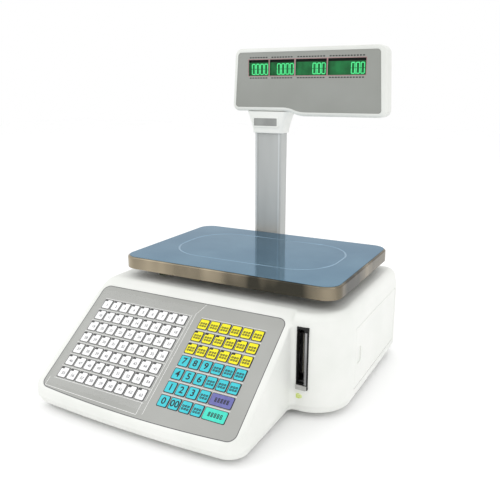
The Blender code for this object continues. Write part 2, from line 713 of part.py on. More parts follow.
def label_exit():
    """The black mouth in the bay's front wall, the bar that peels the label, and the sensor."""
    (left, right), (low, high) = SLOT_X, SLOT_Z
    mouth = box("exit_frame", MOUTH_LOW, MOUTH_HIGH, BLACK)
    cut(mouth, box("exit_way", (left, -90.0, low), (right, -70.0, high), None))
    cut(mouth, box("bar_seat", (right + 0.8, -90.0, low - 0.8), (150.2, -84.0, high - 3.0), None))
    box("peel_bar", (right + 1.1, -86.2, low - 0.5), (149.9, -84.3, high - 3.3), STEEL)
    join(mouth, box("label_ledge", LEDGE_LOW, LEDGE_HIGH, None))
    fork = [
        (133.5, 6.0),
        (146.5, 6.0),
        (146.5, 18.0),
        (141.8, 18.0),
        (141.8, 8.5),
        (139.8, 8.5),
        (139.8, 18.0),
        (133.5, 18.0),
    ]
    prism("label_sensor", fork, DECK_PLATE[1] + GAP, 96.0, BLACK)


def printer_door():
    """The flat side door, on two pins at its rear edge."""
    inner, outer = HALF_WIDTH - DOOR_THICK, HALF_WIDTH
    (front, rear), (low, high) = DOOR_Y, DOOR_Z
    outline = [
        (inner, front),
        (outer, front),
        (outer, rear - 1.0),
        (outer - 1.0, rear),
        (inner, rear),
    ]
    hinge = (HINGE_X, HINGE_Y, 0.0)
    door = prism("printer_door", outline, low, high, WHITE, origin=hinge)
    join(door, prism("door_pins", circle(PIN_RADIUS, hinge[:2], 12), *PIN_Z, None))
    grip = rounded(
        [
            (GRIP_Y[0], GRIP_Z[0], GRIP_CORNER),
            (GRIP_Y[1], GRIP_Z[0], GRIP_CORNER),
            (GRIP_Y[1], GRIP_Z[1], GRIP_CORNER),
            (GRIP_Y[0], GRIP_Z[1], GRIP_CORNER),
        ],
        steps=3,
    )
    return cut(door, prism("finger_grip", grip, outer - GRIP_DEPTH, outer + 5.0, None, on_x))


# ---- Electronics ----
def electronics():
    """The boards and supply inside, and the sockets in the rear wall."""
    board = box("main_board", (-165.0, -150.0, 19.0), (40.0, -60.0, 20.6), BOARD)
    for i, (low, high) in enumerate(
        (
            ((-150, -140, 20.0), (-110, -118, 30.0)),
            ((-90, -120, 20.0), (-60, -90, 24.0)),
            ((-40, -90, 20.0), (30, -70, 29.0)),
        )
    ):
        join(board, box(f"board_part_{i}", low, high, None))
    floor = CHASSIS_Z[1] + GAP
    supply = box("power_supply", (-150.0, -20.0, floor), (-60.0, 60.0, 52.0), ZINC)
    cut(supply, box("supply_step", (-170.0, -30.0, 40.0), (-100.0, 10.0, 60.0), None))
    (left, right), (low, high) = INLET_X, INLET_Z
    inlet = box("power_inlet", (left, 186.0, low), (right, 193.2, high), BLACK)
    join(
        inlet,
        box("inlet_flange", (left, 193.0, low), (right, 197.6, high), None),
        box("inlet_body", (103.0, 172.0, 33.0), (131.0, 188.0, 55.0), None),
    )
    cut(
        inlet,
        box("inlet_recess", (105.5, 176.0, 35.5), (128.5, 205.0, 52.5), None),
        box("rocker_way", (136.0, 180.0, 34.0), (154.0, 205.0, 54.0), None),
    )
    for i, (x, z) in enumerate(((111.0, 42.0), (123.0, 42.0), (117.0, 47.0))):
        join(inlet, box(f"blade_{i}", (x - 1, 174.0, z - 2), (x + 1, 186.0, z + 2), None))
    profile = (
        (-6.0, -8.0),
        (1.0, -8.6),
        (4.5, -8.6),
        (2.6, 0.0),
        (4.5, 8.6),
        (1.0, 8.6),
        (-6.0, 8.0),
    )
    lean = Matrix.Rotation(ROCKER_LEAN, 2)
    leaning = [Vector(ROCKER_PIVOT[1:]) + lean @ Vector(point) for point in profile]
    prism("power_switch", leaning, 137.0, 153.0, BLACK, on_x, ROCKER_PIVOT)
    (left, right), (low, high) = PORTS_X, PORTS_Z
    ports = box("data_ports", (left, 188.0, low), (right, 197.4, high), ZINC)
    cut(
        ports,
        box("network_port", (24.0, 190.5, 34.0), (40.0, 205.0, 48.0), None),
        box("serial_port", (45.0, 193.0, 35.0), (76.0, 205.0, 49.0), None),
    )
    join(ports, box("serial_tongue", (49.0, 191.0, 38.0), (72.0, 196.5, 46.0), None))


# ---- Pole and display ----
def pole():
    """The socket on the rear wall, the extruded column and the screw that clamps it."""
    centre = (POLE_X, POLE_Y)
    half_x, half_y = POLE_WIDTH / 2, POLE_DEPTH / 2
    socket_outline = rounded(
        [
            (POLE_X - SOCKET_HALF, REAR_Y + GAP, 0.0),
            (POLE_X + SOCKET_HALF, REAR_Y + GAP, 0.0),
            (POLE_X + SOCKET_HALF, SOCKET_REAR, 10.0),
            (POLE_X - SOCKET_HALF, SOCKET_REAR, 10.0),
        ]
    )
    socket = prism("pole_socket", socket_outline, *SOCKET_Z, WHITE)
    way = rectangle(half_x + 0.4, half_y + 0.4, 4.4, centre, 3)
    cut(socket, prism("pole_way", way, POLE_LOW - 0.5, 140.0, None))
    cut(socket, prism("screw_way", circle(2.9, (POLE_X, SCREW_Z), 12), 225.0, 240.0, None, on_y))
    cut(socket, prism("cable_way", circle(7.0, (POLE_X, CABLE_Z), 12), 190.0, 205.0, None, on_y))
    ends = (0.0, POLE_LOW), (0.0, POLE_HIGH), (POLE_WALL, POLE_HIGH), (POLE_WALL, POLE_LOW)
    rings = [
        on_z(rectangle(half_x - inset, half_y - inset, 4.0 - inset, centre, 3), z)
        for inset, z in ends
    ]
    column = finish("pole_column", loft(rings, closed=True), COLUMN)
    cut(column, prism("column_way", circle(6.5, (POLE_X, CABLE_Z), 12), 190.0, 212.0, None, on_y))
    screw = circle(2.5, (POLE_X, SCREW_Z), 12)
    origin = (POLE_X, 230.0, SCREW_Z)
    prism("pole_clamp_screw", screw, POLE_Y + half_y + GAP, 234.3, ZINC, on_y, origin)


def neck():
    """The flared neck between the column and the head, with the blank window in its face."""
    rings = []
    for wall, sections in ((0.0, NECK_SECTIONS), (NECK_WALL, NECK_SECTIONS[::-1])):
        for half_x, half_y, z in sections:
            outline = rectangle(half_x - wall, half_y - wall, 6.0 - wall, (POLE_X, POLE_Y), 4)
            rings.append(on_z(outline, z))
    shell = finish("display_neck", loft(rings, closed=True), WHITE)
    (left, right), (low, high) = NECK_WINDOW_X, NECK_WINDOW_Z
    centre = ((left + right) / 2, (low + high) / 2)
    half_x, half_z = (right - left) / 2, (high - low) / 2
    rim = NECK_FRAME_RIM
    frame = rectangle(half_x + rim, half_z + rim, 2.0, centre, 2)
    join(shell, prism("window_frame", frame, 195.6, 199.0, None, on_y))
    hole = rectangle(half_x, half_z, 0.0, centre)
    cut(shell, prism("window_seat", hole, 190.0, 196.6, None, on_y))
    inset = rectangle(half_x - GAP, half_z - GAP, 0.0, centre)
    prism("neck_window", inset, 195.8, 196.3, GREY, on_y)


def head_shell(name, face, meeting, sign):
    """One half of the display head: a dished shell that is open towards the other half."""
    rings = [on_y(head_outline(inset), face + sign * depth) for inset, depth in HEAD_ROUND]
    rings.append(on_y(head_outline(0.0), meeting))
    rings.append(on_y(head_outline(HEAD_WALL), meeting))
    for inset, depth in HEAD_ROUND[:0:-1]:
        rings.append(on_y(head_outline(inset + HEAD_WALL), face + sign * (depth + 2.0)))
    return finish(name, loft(rings), WHITE)


def window_rect(window, grow=0.0):
    """A read-out's opening in the head's face, grown by that much all round."""
    (left, right), (low, high) = window, WINDOW_Z
    return [
        (left - grow, low - grow),
        (right + grow, low - grow),
        (right + grow, high + grow),
        (left - grow, high + grow),
    ]


def display_head():
    """Both shells, the grey faces, the four read-outs, the customer's read-out and the board."""
    front = head_shell("head_front_shell", HEAD_FRONT, HEAD_MIDDLE - GAP / 2, 1)
    rear = head_shell("head_rear_shell", HEAD_REAR, HEAD_MIDDLE + GAP / 2, -1)
    neck_way = (POLE_X - 30.0, POLE_Y - 15.0, 380.0), (POLE_X + 30.0, POLE_Y + 15.0, 394.0)
    stretch = (WINDOWS_X[0][0], WINDOWS_X[3][1])
    for shell, face, sign in ((front, HEAD_FRONT, 1), (rear, HEAD_REAR, -1)):
        tag = shell.name
        seat = sorted((face - sign * 5, face + sign * 1.6))
        through = sorted((face - sign * 5, face + sign * 6.0))
        cut(
            shell,
            prism(tag + "_seat", head_outline(PANEL_INSET - GAP), *seat, None, on_y),
            prism(tag + "_window", window_rect(stretch, 1.0), *through, None, on_y),
            box(tag + "_neck_way", *neck_way, None),
        )
        panel_y = sorted((face + sign * 0.3, face + sign * 1.3))
        name = "head_face_panel" if sign > 0 else "head_rear_panel"
        panel = prism(name, head_outline(PANEL_INSET), *panel_y, GREY, on_y)
        cut_y = sorted((face - sign * 5, face + sign * 5))
        for i, window in enumerate(WINDOWS_X):
            cut(panel, prism(f"{name}_hole_{i}", window_rect(window), *cut_y, None, on_y))
    for name, window in zip(DISPLAY_NAMES, WINDOWS_X):
        prism(name, window_rect(window, 0.7), HEAD_FRONT + 3.2, HEAD_FRONT + 7.0, LCD, on_y)
    prism("customer_lcd", window_rect(stretch, 0.7), HEAD_REAR - 7.0, HEAD_REAR - 3.2, LCD, on_y)
    box("display_board", (-95.0, 213.6, 410.0), (130.0, 215.2, 482.0), BOARD)


def clear_scene():
    for obj in list(bpy.data.objects):
        bpy.data.objects.remove(obj)


def main():
    clear_scene()
    bottom_tray()
    upper_housing()
    chassis_plate()
    level_vial()
    feet()
    keyboard()
    load_cell()
    weighing_frame()
    weighing_pan()
    gears()
    printer_frame()
    platen()
    stepper_motor()
    print_head()
    spools()
    label_exit()
    printer_door()
    electronics()
    pole()
    neck()
    display_head()


main()
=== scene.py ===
import math

import bmesh
import bpy
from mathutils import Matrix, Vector


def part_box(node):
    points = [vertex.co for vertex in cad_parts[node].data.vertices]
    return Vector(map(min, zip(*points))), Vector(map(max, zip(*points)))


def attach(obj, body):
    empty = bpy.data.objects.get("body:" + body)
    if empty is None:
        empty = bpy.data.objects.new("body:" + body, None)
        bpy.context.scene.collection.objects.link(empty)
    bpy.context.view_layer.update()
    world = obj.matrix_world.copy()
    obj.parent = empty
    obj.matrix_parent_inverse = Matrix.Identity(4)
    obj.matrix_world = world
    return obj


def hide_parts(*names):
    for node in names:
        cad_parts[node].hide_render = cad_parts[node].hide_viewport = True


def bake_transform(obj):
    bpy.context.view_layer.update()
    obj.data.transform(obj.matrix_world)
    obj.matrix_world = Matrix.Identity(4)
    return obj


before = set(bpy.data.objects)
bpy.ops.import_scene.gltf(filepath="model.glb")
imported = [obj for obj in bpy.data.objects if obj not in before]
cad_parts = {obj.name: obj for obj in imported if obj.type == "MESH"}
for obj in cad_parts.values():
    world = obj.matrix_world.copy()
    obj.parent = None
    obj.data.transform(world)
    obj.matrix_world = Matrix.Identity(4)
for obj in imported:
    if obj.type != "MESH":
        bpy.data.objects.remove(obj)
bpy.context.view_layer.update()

mm = 0.001

# ---- Studio ----
# A flat white card under the scale, with a big soft box over each shoulder and a fill from
# behind, as a catalogue table is lit.


def only(piece):
    """Drops whatever is selected and takes up this one piece."""
    bpy.ops.object.select_all(action="DESELECT")
    piece.select_set(True)
    bpy.context.view_layer.objects.active = piece


def settle(piece):
    """Puts the place, turn and scale of a piece into its mesh."""
    only(piece)
    bpy.ops.object.transform_apply(location=True, rotation=True, scale=True)
    return piece


def linear(code):
    """An sRGB hex colour as linear red, green, blue and full cover."""
    parts = [int(code[i:i + 2], 16) / 255 for i in (1, 3, 5)]
    return (*[c / 12.92 if c <= 0.04045 else ((c + 0.055) / 1.055) ** 2.4 for c in parts], 1.0)


def new_finish(name, colour, roughness, metallic=0.0, **more):
    """A Principled finish of one colour, and the tree and shader to work it up with."""
    finish = bpy.data.materials.new(name)
    finish.use_nodes = True
    tree = finish.node_tree
    shader = tree.nodes["Principled BSDF"]
    shader.inputs["Base Color"].default_value = linear(colour)
    shader.inputs["Roughness"].default_value = roughness
    shader.inputs["Metallic"].default_value = metallic
    for socket, value in more.items():
        shader.inputs[socket.replace("_", " ")].default_value = value
    return finish, tree, shader


bpy.ops.object.camera_add(
    location=(0.4224, -0.75405, 0.42805),
    rotation=(math.radians(90 - 15.03), 0, math.radians(28.03)),
)
camera = bpy.context.active_object
camera.data.lens = 43.29
bpy.context.scene.camera = camera

bpy.ops.mesh.primitive_plane_add(size=12)
sweep = bpy.context.active_object
sweep.name = "sweep"
card = new_finish("white_card", "#ffffff", 0.9)[0]
sweep.data.materials.append(card)

for place, size, power in (
    ((-1.4, -1.2, 1.9), 1.6, 8),
    ((1.9, -0.6, 1.6), 1.2, 4),
    ((0.1, 1.6, 2.2), 2.0, 5),
):
    bpy.ops.object.light_add(type="AREA", location=place)
    lamp = bpy.context.active_object
    lamp.data.size = size
    lamp.data.energy = power
    aim = Vector((0, 0, 0.2)) - Vector(place)
    lamp.rotation_euler = aim.to_track_quat("-Z", "Y").to_euler()

world = bpy.data.worlds.new("studio")
bpy.context.scene.world = world
world.use_nodes = True
sky = world.node_tree.nodes["Background"]
sky.inputs["Color"].default_value = linear("#ffffff")
sky.inputs["Strength"].default_value = 1.0
bpy.context.scene.view_settings.view_transform = "Standard"

# ---- Bottom tray ----
# The shallow tray that closes the casing from below, injection moulded in white ABS. Its
# wall leans in to the foot, and it is screwed up into the casing from underneath.


def add(tree, kind, settings, feeds=()):
    """Adds a node to a material, with its settings and what feeds its sockets."""
    made = tree.nodes.new("ShaderNode" + kind)
    for name, value in settings.items():
        if name in made.inputs:
            made.inputs[name].default_value = value
        else:
            setattr(made, name, value)
    for socket, source in feeds:
        tree.links.new(source, made.inputs[socket])
    return made


def grain(tree, shader, size, depth, stretch=(1, 1, 1)):
    """A fine relief on the surface, with features of that size and depth in metres."""
    place = add(tree, "TexCoord", {})
    turn = add(tree, "Mapping", {"Scale": stretch}, [("Vector", place.outputs["Object"])])
    relief = add(tree, "TexNoise", {"Scale": 1 / size}, [("Vector", turn.outputs[0])])
    bump = add(tree, "Bump", {"Distance": depth, "Strength": 0.6}, [("Height", relief.outputs[0])])
    tree.links.new(bump.outputs[0], shader.inputs["Normal"])
    return relief


def shade(tree, shader, dark, light, size, stretch=(1, 1, 1), low=0.35, high=0.65):
    """Lets the colour drift between two shades in soft patches of that size."""
    place = add(tree, "TexCoord", {})
    turn = add(tree, "Mapping", {"Scale": stretch}, [("Vector", place.outputs["Object"])])
    cloud = add(tree, "TexNoise", {"Scale": 1 / size, "Detail": 3.0}, [("Vector", turn.outputs[0])])
    ramp = add(tree, "ValToRGB", {}, [("Fac", cloud.outputs[0])])
    ramp.color_ramp.elements[0].position = low
    ramp.color_ramp.elements[1].position = high
    ramp.color_ramp.elements[0].color = linear(dark)
    ramp.color_ramp.elements[1].color = linear(light)
    tree.links.new(ramp.outputs[0], shader.inputs["Base Color"])
    return cloud


def gloss(tree, shader, source, low, high):
    """Lets the roughness follow a pattern between two values."""
    span = add(tree, "MapRange", {"To Min": low, "To Max": high}, [("Value", source.outputs[0])])
    tree.links.new(span.outputs[0], shader.inputs["Roughness"])


def clouded(name, colour, roughness, dark, light, patch, span=None, relief=None,
            metallic=0.0, stretch=(1, 1, 1), **more):
    """A finish that drifts between two shades in patches, its roughness with it over a span."""
    finish, tree, shader = new_finish(name, colour, roughness, metallic, **more)
    cloud = shade(tree, shader, dark, light, patch, stretch)
    if span:
        gloss(tree, shader, cloud, *span)
    if relief:
        grain(tree, shader, *relief)
    return finish


# Moulded ABS: a satin skin with the mould's spark-eroded texture. The real texture is
# about 0.1 mm across, and is drawn at 0.7 mm so that it shows.
white_abs = clouded("white_moulded_abs", "#e9eae6", 0.42, "#e6e8e3", "#ecede9", 60 * mm,
                    (0.38, 0.48), (0.7 * mm, 0.02 * mm), IOR=1.53)


def middle(part):
    """The middle of an edge or a face that is open for editing."""
    return sum((corner.co for corner in part.verts), Vector()) / len(part.verts)


def runs(edge, axis):
    """Whether an edge lies along X, Y or Z."""
    along = edge.verts[1].co - edge.verts[0].co
    return abs(along["XYZ".index(axis)]) > 0.99 * along.length


def sharp(edge, angle=30):
    """Whether two faces meet at an edge by at least that many degrees."""
    return edge.is_manifold and edge.calc_face_angle() > math.radians(angle)


def along(axis):
    """A test for the edges that lie along X, Y or Z."""
    return lambda edge: runs(edge, axis)


def sharp_at(axis, level, angle=30):
    """A test for the sharp edges that lie at one level along an axis."""
    way = "XYZ".index(axis)
    return lambda edge: sharp(edge, angle) and abs(middle(edge)[way] - level) < 0.1 * mm


def pick(piece, kind, test):
    """Opens a piece for editing, with just those corners, edges or faces picked."""
    only(piece)
    bpy.ops.object.mode_set(mode="EDIT")
    bpy.ops.mesh.select_mode(type=kind)
    bpy.ops.mesh.select_all(action="DESELECT")
    shape = bmesh.from_edit_mesh(piece.data)
    parts = {"VERT": shape.verts, "EDGE": shape.edges, "FACE": shape.faces}[kind]
    for part in parts:
        if test(part):
            part.select_set(True)
    bmesh.update_edit_mesh(piece.data)


def close():
    """Ends the editing that pick opened."""
    bpy.ops.object.mode_set(mode="OBJECT")


def at(x, y, z):
    """A point given in millimetres."""
    return Vector((x, y, z)) * mm


def block(name, low, high):
    """A block between two corners, in metres."""
    low, high = Vector(low), Vector(high)
    bpy.ops.object.select_all(action="DESELECT")
    bpy.ops.mesh.primitive_cube_add(size=1, location=(low + high) / 2, scale=high - low)
    piece = bpy.context.active_object
    piece.name = name
    return settle(piece)


def drum(name, start, end, radius, sides=48):
    """A round bar between two points."""
    start, end = Vector(start), Vector(end)
    turn = (end - start).to_track_quat("Z", "Y").to_euler()
    bpy.ops.object.select_all(action="DESELECT")
    bpy.ops.mesh.primitive_cylinder_add(
        vertices=sides, radius=radius, depth=(end - start).length,
        location=(start + end) / 2, rotation=turn,
    )
    piece = bpy.context.active_object
    piece.name = name
    return settle(piece)


def round_off(piece, test, radius, segments=4):
    """Rounds the picked edges."""
    pick(piece, "EDGE", test)
    bpy.ops.mesh.bevel(offset=radius, segments=segments, affect="EDGES")
    close()


def work(piece, other, operation="DIFFERENCE"):
    """Cuts the other piece out of this one, or joins it on, and clears it away."""
    only(piece)
    bpy.ops.object.modifier_add(type="BOOLEAN")
    piece.modifiers[-1].operation = operation
    piece.modifiers[-1].object = other
    bpy.ops.object.modifier_apply(modifier=piece.modifiers[-1].name)
    bpy.data.objects.remove(other)
    return piece


def score(piece, axis, *places):
    """Cuts an edge round a piece at each of these places along an axis."""
    way = Vector([float(letter == axis) for letter in "XYZ"])
    pick(piece, "FACE", lambda face: True)
    for place in places:
        bpy.ops.mesh.select_all(action="SELECT")
        bpy.ops.mesh.bisect(plane_co=way * place, plane_no=way)
    close()


def dress(piece, finish, *nodes, body="scale_body", angle=32):
    """Shades a finished piece, gives it its finish and hangs it on its body, if it has just one."""
    only(piece)
    bpy.ops.object.shade_smooth_by_angle(angle=math.radians(angle))
    bpy.ops.object.modifier_add(type="WEIGHTED_NORMAL")
    piece.modifiers[-1].keep_sharp = True
    bpy.ops.object.modifier_apply(modifier=piece.modifiers[-1].name)
    piece.data.materials.clear()
    piece.data.materials.append(finish)
    if body:
        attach(piece, body)
    if nodes:
        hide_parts(*nodes)
    return piece


casing_low, casing_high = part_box("upper_housing")
wedge_right, bay_front, front_bow = 128 * mm, -84 * mm, 6 * mm


def bow(piece, left, right, front, depth, fade):
    """Bows a straight front edge forward by a flat arc that dies away at its two corners."""
    pick(piece, "EDGE", lambda e: runs(e, "X") and middle(e).y < front + 1 * mm)
    bpy.ops.mesh.subdivide(number_cuts=14)
    close()
    centre, half = (left + right) / 2, (right - left) / 2
    for corner in piece.data.vertices:
        spot = corner.co
        share = min(1.0, max(0.0, (front + fade - spot.y) / fade))
        if share and left <= spot.x <= right:
            spot.y -= depth * share * (1 - ((spot.x - centre) / half) ** 2)


def casing_block(name, low, high, inset=0.0):
    """A block of the casing's plan: the keyboard's wedge, with the printer bay set back."""
    left, right = casing_low.x + inset, casing_high.x - inset
    front, rear = casing_low.y + front_bow + inset, casing_high.y - inset
    wedge, bay = wedge_right - inset, bay_front + inset
    body = block(name, (left, front, low), (right, rear, high))
    work(body, block("notch", (wedge, front - 1, low - 1), (right + 1, bay, high + 1)))

    def stands_at(x, y):
        return lambda e: runs(e, "Z") and (middle(e).xy - Vector((x, y))).length < 1 * mm

    for x, y, radius, steps in (
        (left, front, 11 * mm - inset, 8),
        (wedge, front, 24 * mm - inset, 10),
        (wedge, bay, 8 * mm + inset, 6),
        (right, bay, 55 * mm - inset, 18),
        (right, rear, 18 * mm - inset, 10),
        (left, rear, 18 * mm - inset, 10),
    ):
        round_off(body, stands_at(x, y), max(radius, 2 * mm), steps)
    bow(body, left, wedge, front, front_bow, 24 * mm)
    return body


tray_low, tray_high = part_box("bottom_tray")
tray = casing_block("tray", tray_low.z, tray_high.z, 1 * mm)
pick(tray, "VERT", lambda v: v.co.z < tray_low.z + 1 * mm)
bpy.ops.transform.resize(value=(0.985, 0.985, 1), center_override=(0, 0, 0))
close()
round_off(tray, sharp_at("Z", tray_low.z), 1.6 * mm, 4)
tray_hollow = casing_block("tray_hollow", tray_low.z + 2.5 * mm, tray_high.z + 1, 6 * mm)
work(tray, tray_hollow)
dress(tray, white_abs, "bottom_tray")

# ---- Levelling feet ----
# Moulded rubber pads on zinc-plated studs, screwed up into the tray. Ribs round the rim
# give the fingers a grip.
rubber = clouded("moulded_rubber", "#1b1b1c", 0.78, "#161617", "#242426", 12 * mm,
                 relief=(0.8 * mm, 0.05 * mm), IOR=1.52)


def lathe(name, centre, profile, sides=48):
    """Turns a profile of (radius, height) points about an upright axis into a closed piece."""
    foot_radius, foot_height = profile[0]
    x, y = centre
    bpy.ops.object.select_all(action="DESELECT")
    bpy.ops.mesh.primitive_circle_add(
        vertices=sides, radius=foot_radius, fill_type="NGON", location=(x, y, foot_height)
    )
    piece = bpy.context.active_object
    piece.name = name
    settle(piece)
    bpy.ops.object.mode_set(mode="EDIT")
    bpy.ops.mesh.select_all(action="SELECT")
    for (before, below), (radius, height) in zip(profile, profile[1:]):
        bpy.ops.mesh.extrude_region_move(TRANSFORM_OT_translate={"value": (0, 0, height - below)})
        ratio = radius / before
        bpy.ops.transform.resize(value=(ratio, ratio, 1), center_override=(x, y, height))
    bpy.ops.mesh.select_all(action="SELECT")
    bpy.ops.mesh.normals_make_consistent(inside=False)
    close()
    return piece


def upright(node):
    """The axis, radius, foot and top of a round CAD node that stands upright."""
    low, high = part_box(node)
    return ((low + high) / 2).xy, (high.x - low.x) / 2, low.z, high.z


# Which of a pad's 48 side faces are sunk between its ribs, by their angle round the stud.
sunk = ".X.X........XXXXXXXX.X.X.XXXXXXXXX.X.X.........X"
facet = math.tau / len(sunk)
for name in ("front_left", "front_right", "rear_left", "rear_right"):
    axis, r, _, top = upright("foot_" + name)
    foot = lathe("pad_" + name, axis, (
        (r - 1.6 * mm, 0), (r - 0.4 * mm, 0.4 * mm), (r, 1.4 * mm), (r, 4.4 * mm),
        (r - 0.6 * mm, 5.2 * mm), (r - 2.4 * mm, 6.4 * mm), (4.6 * mm, 6.8 * mm),
        (3.5 * mm, 7.2 * mm), (3.5 * mm, top - 0.8 * mm), (2.7 * mm, top),
    ))
    pick(foot, "FACE", lambda f: abs(f.normal.z) < 0.1 and middle(f).z < 4 * mm
         and sunk[int(math.atan2(*(middle(f).xy - axis).yx) // facet)] == "X")
    bpy.ops.mesh.inset(thickness=0.15 * mm, depth=-0.5 * mm, use_individual=True)
    close()
    dress(foot, rubber, "foot_" + name, body=name + "_foot")

# ---- Chassis, load cell and pan carrier ----
# A zinc-plated plate carries the milled aluminium load cell, and a die-cast cross on the
# cell's live end holds the pan on four rubber pads.
zinc = clouded("zinc_plated_steel", "#b9bbbd", 0.38, "#a4a7ab", "#c8cacb", 9 * mm,
               (0.3, 0.5), (1.2 * mm, 0.01 * mm), metallic=1.0)

milled, tree, shader = new_finish("milled_aluminium", "#c9cbce", 0.34, 1.0)
gloss(tree, shader, grain(tree, shader, 0.6 * mm, 0.02 * mm, (1, 0.06, 1)), 0.26, 0.44)

cast = clouded("die_cast_aluminium", "#a9abad", 0.5, "#98999b", "#b4b6b8", 14 * mm,
               relief=(1.0 * mm, 0.08 * mm), metallic=1.0)


def paint(finish, *nodes):
    """Gives their finish to the CAD nodes whose shape is right as it is."""
    for name in nodes:
        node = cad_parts[name]
        node.data.materials.clear()
        node.data.materials.append(finish)


paint(zinc, "chassis_plate", "cell_base_block", "cell_post")
paint(cast, "pan_support")
cell_low, cell_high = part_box("load_cell")
cell = block("bending_beam", cell_low, cell_high)
round_off(cell, sharp, 0.5 * mm, 2)
cell_y, cell_z = ((cell_low + cell_high) / 2).yz
hole_off, past = 16 * mm, 10 * mm
for side in (-1, 1):
    hole_y = cell_y + side * hole_off
    work(cell, drum("bore", (cell_low.x - past, hole_y, cell_z),
                    (cell_high.x + past, hole_y, cell_z), 9 * mm, 64))
work(cell, block("web", (cell_low.x - past, cell_y - hole_off, cell_z - 4 * mm),
                 (cell_high.x + past, cell_y + hole_off, cell_z + 4 * mm)))
# Edges are cut across the beam between the holes.
score(cell, "Y", 60 * mm, 48 * mm, 76 * mm)
dress(cell, milled, "load_cell", body=None)
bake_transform(cell)
for i in range(4):
    name = f"support_pad_{i + 1}"
    axis, r, low, high = upright(name)
    pad = lathe(f"pan_pad_{i + 1}", axis, (
        (r - 1.2 * mm, low), (r - 0.3 * mm, low + 0.6 * mm), (r, low + 1.8 * mm),
        (r - 0.4 * mm, high - 2 * mm), (r - 1.4 * mm, high - 0.6 * mm), (r - 3 * mm, high),
    ), 32)
    dress(pad, rubber, name, body="weighing_cross")

# ---- Top casing ----
# One large injection moulding in the same white ABS: the sloping keyboard deck, the flat
# platform under the pan, and the walls of the printer bay with their big soft corner.
deck_tilt = math.radians(35.3)
deck_front = Vector((0, -225.5 * mm, 34.5 * mm))
off_deck = Vector((0, -math.sin(deck_tilt), math.cos(deck_tilt)))


def onto_deck(piece):
    """Tips a piece that was made flat, with its front edge at Y = 0, onto the keyboard deck."""
    piece.rotation_euler.x = deck_tilt
    piece.location = deck_front
    return settle(piece)


def above_deck(height, right):
    """A block that holds all that lies over the keyboard deck, for cutting away."""
    return onto_deck(block("over", (-0.3, -0.1, height), (right, 0.4, 0.3)))


def overlay_block(name, low, high, grow=0.0):
    """A slab of the keyboard face's outline, made flat, with its front edge bowed."""
    left, right, back = -185.7 * mm - grow, 119.8 * mm + grow, 176.5 * mm + grow
    slab = block(name, (left, -grow, low), (right, back, high))
    round_off(slab, along("Z"), max(11 * mm + grow, 2 * mm), 10)
    bow(slab, left, right, -grow, front_bow, 11 * mm)
    return slab


top = casing_high.z
casing = casing_block("casing", casing_low.z, top)
fold = 118 * mm
score(casing, "Z", fold)
pick(casing, "VERT", lambda v: v.co.z > top - 1 * mm)
bpy.ops.transform.resize(value=(0.976, 0.978, 1), center_override=(0, 0, top))
close()
round_off(casing, sharp_at("Z", top), 11 * mm, 8)
round_off(casing, lambda e: 3 < math.degrees(e.calc_face_angle(0)) < 30
          and abs(middle(e).z - fold) < 1 * mm, 9 * mm, 5)
work(casing, above_deck(0, wedge_right + 1.3 * mm))


def borders_deck(edge):
    """Whether an edge is part of the deck's outer rim or the fold to the platform."""
    if not sharp(edge, 12) or middle(edge).x > wedge_right + 1 * mm:
        return False
    return sum(face.normal.dot(off_deck) > 0.999 for face in edge.link_faces) == 1


round_off(casing, borders_deck, 3.4 * mm, 5)
hollow = casing_block("hollow", 0, top - 8 * mm, 7.5 * mm)
work(hollow, above_deck(-5 * mm, wedge_right + 6 * mm))
work(casing, hollow)
work(casing, onto_deck(overlay_block("recess", -1.15 * mm, 20 * mm, 0.4 * mm)))
work(casing, onto_deck(overlay_block("window", -20 * mm, 20 * mm, -8 * mm)))
slot_low, slot_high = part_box("exit_frame")
work(casing, block("slot", (slot_low.x - 0.4 * mm, -0.1, slot_low.z - 0.4 * mm),
                   (slot_high.x + 0.4 * mm, -0.07, slot_high.z + 0.4 * mm)))
door_low, door_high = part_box("printer_door")
work(casing, block("doorway", (0.17, door_low.y - 0.6 * mm, 26.5 * mm),
                   (0.21, door_high.y + 0.6 * mm, 116.5 * mm)))
post_low, post_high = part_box("cell_post")
work(casing, block("post_way", (post_low.x - 8 * mm, post_low.y - 12 * mm, 0.12),
                   (post_high.x + 8 * mm, post_high.y + 12 * mm, 0.16)))
for node in ("power_inlet", "data_ports"):
    low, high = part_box(node)
    work(casing, block("way", (low.x - 0.3 * mm, 0.18, low.z - 0.3 * mm),
                       (high.x + 0.3 * mm, 0.21, high.z + 0.3 * mm)))
vial_low, vial_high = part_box("level_vial")
vial = ((vial_low + vial_high) / 2).xy
work(casing, drum("vial_way", (*vial, 0.12), (*vial, 0.16), 9.3 * mm))
pole_x = -51 * mm
work(casing, drum("cable_way", (pole_x, 0.18, 40 * mm), (pole_x, 0.21, 40 * mm), 7 * mm))
dress(casing, white_abs, "upper_housing")

# ---- Bubble level ----
# A round acrylic vial let into the platform under the pan, for setting the feet by.
clear = clouded("clear_acrylic", "#e9f2ea", 0.05, "#dcefd2", "#eef6e6", 5 * mm,
                (0.03, 0.08), IOR=1.49, Transmission_Weight=0.8)
x, y = vial
level = lathe("level_vial_body", (x, y), (
    (7 * mm, vial_low.z), (9 * mm, vial_low.z), (9 * mm, vial_high.z - 1.6 * mm),
    (8.2 * mm, vial_high.z - 0.7 * mm), (5 * mm, vial_high.z - 0.2 * mm), (2 * mm, vial_high.z),
))
dress(level, clear, "level_vial")

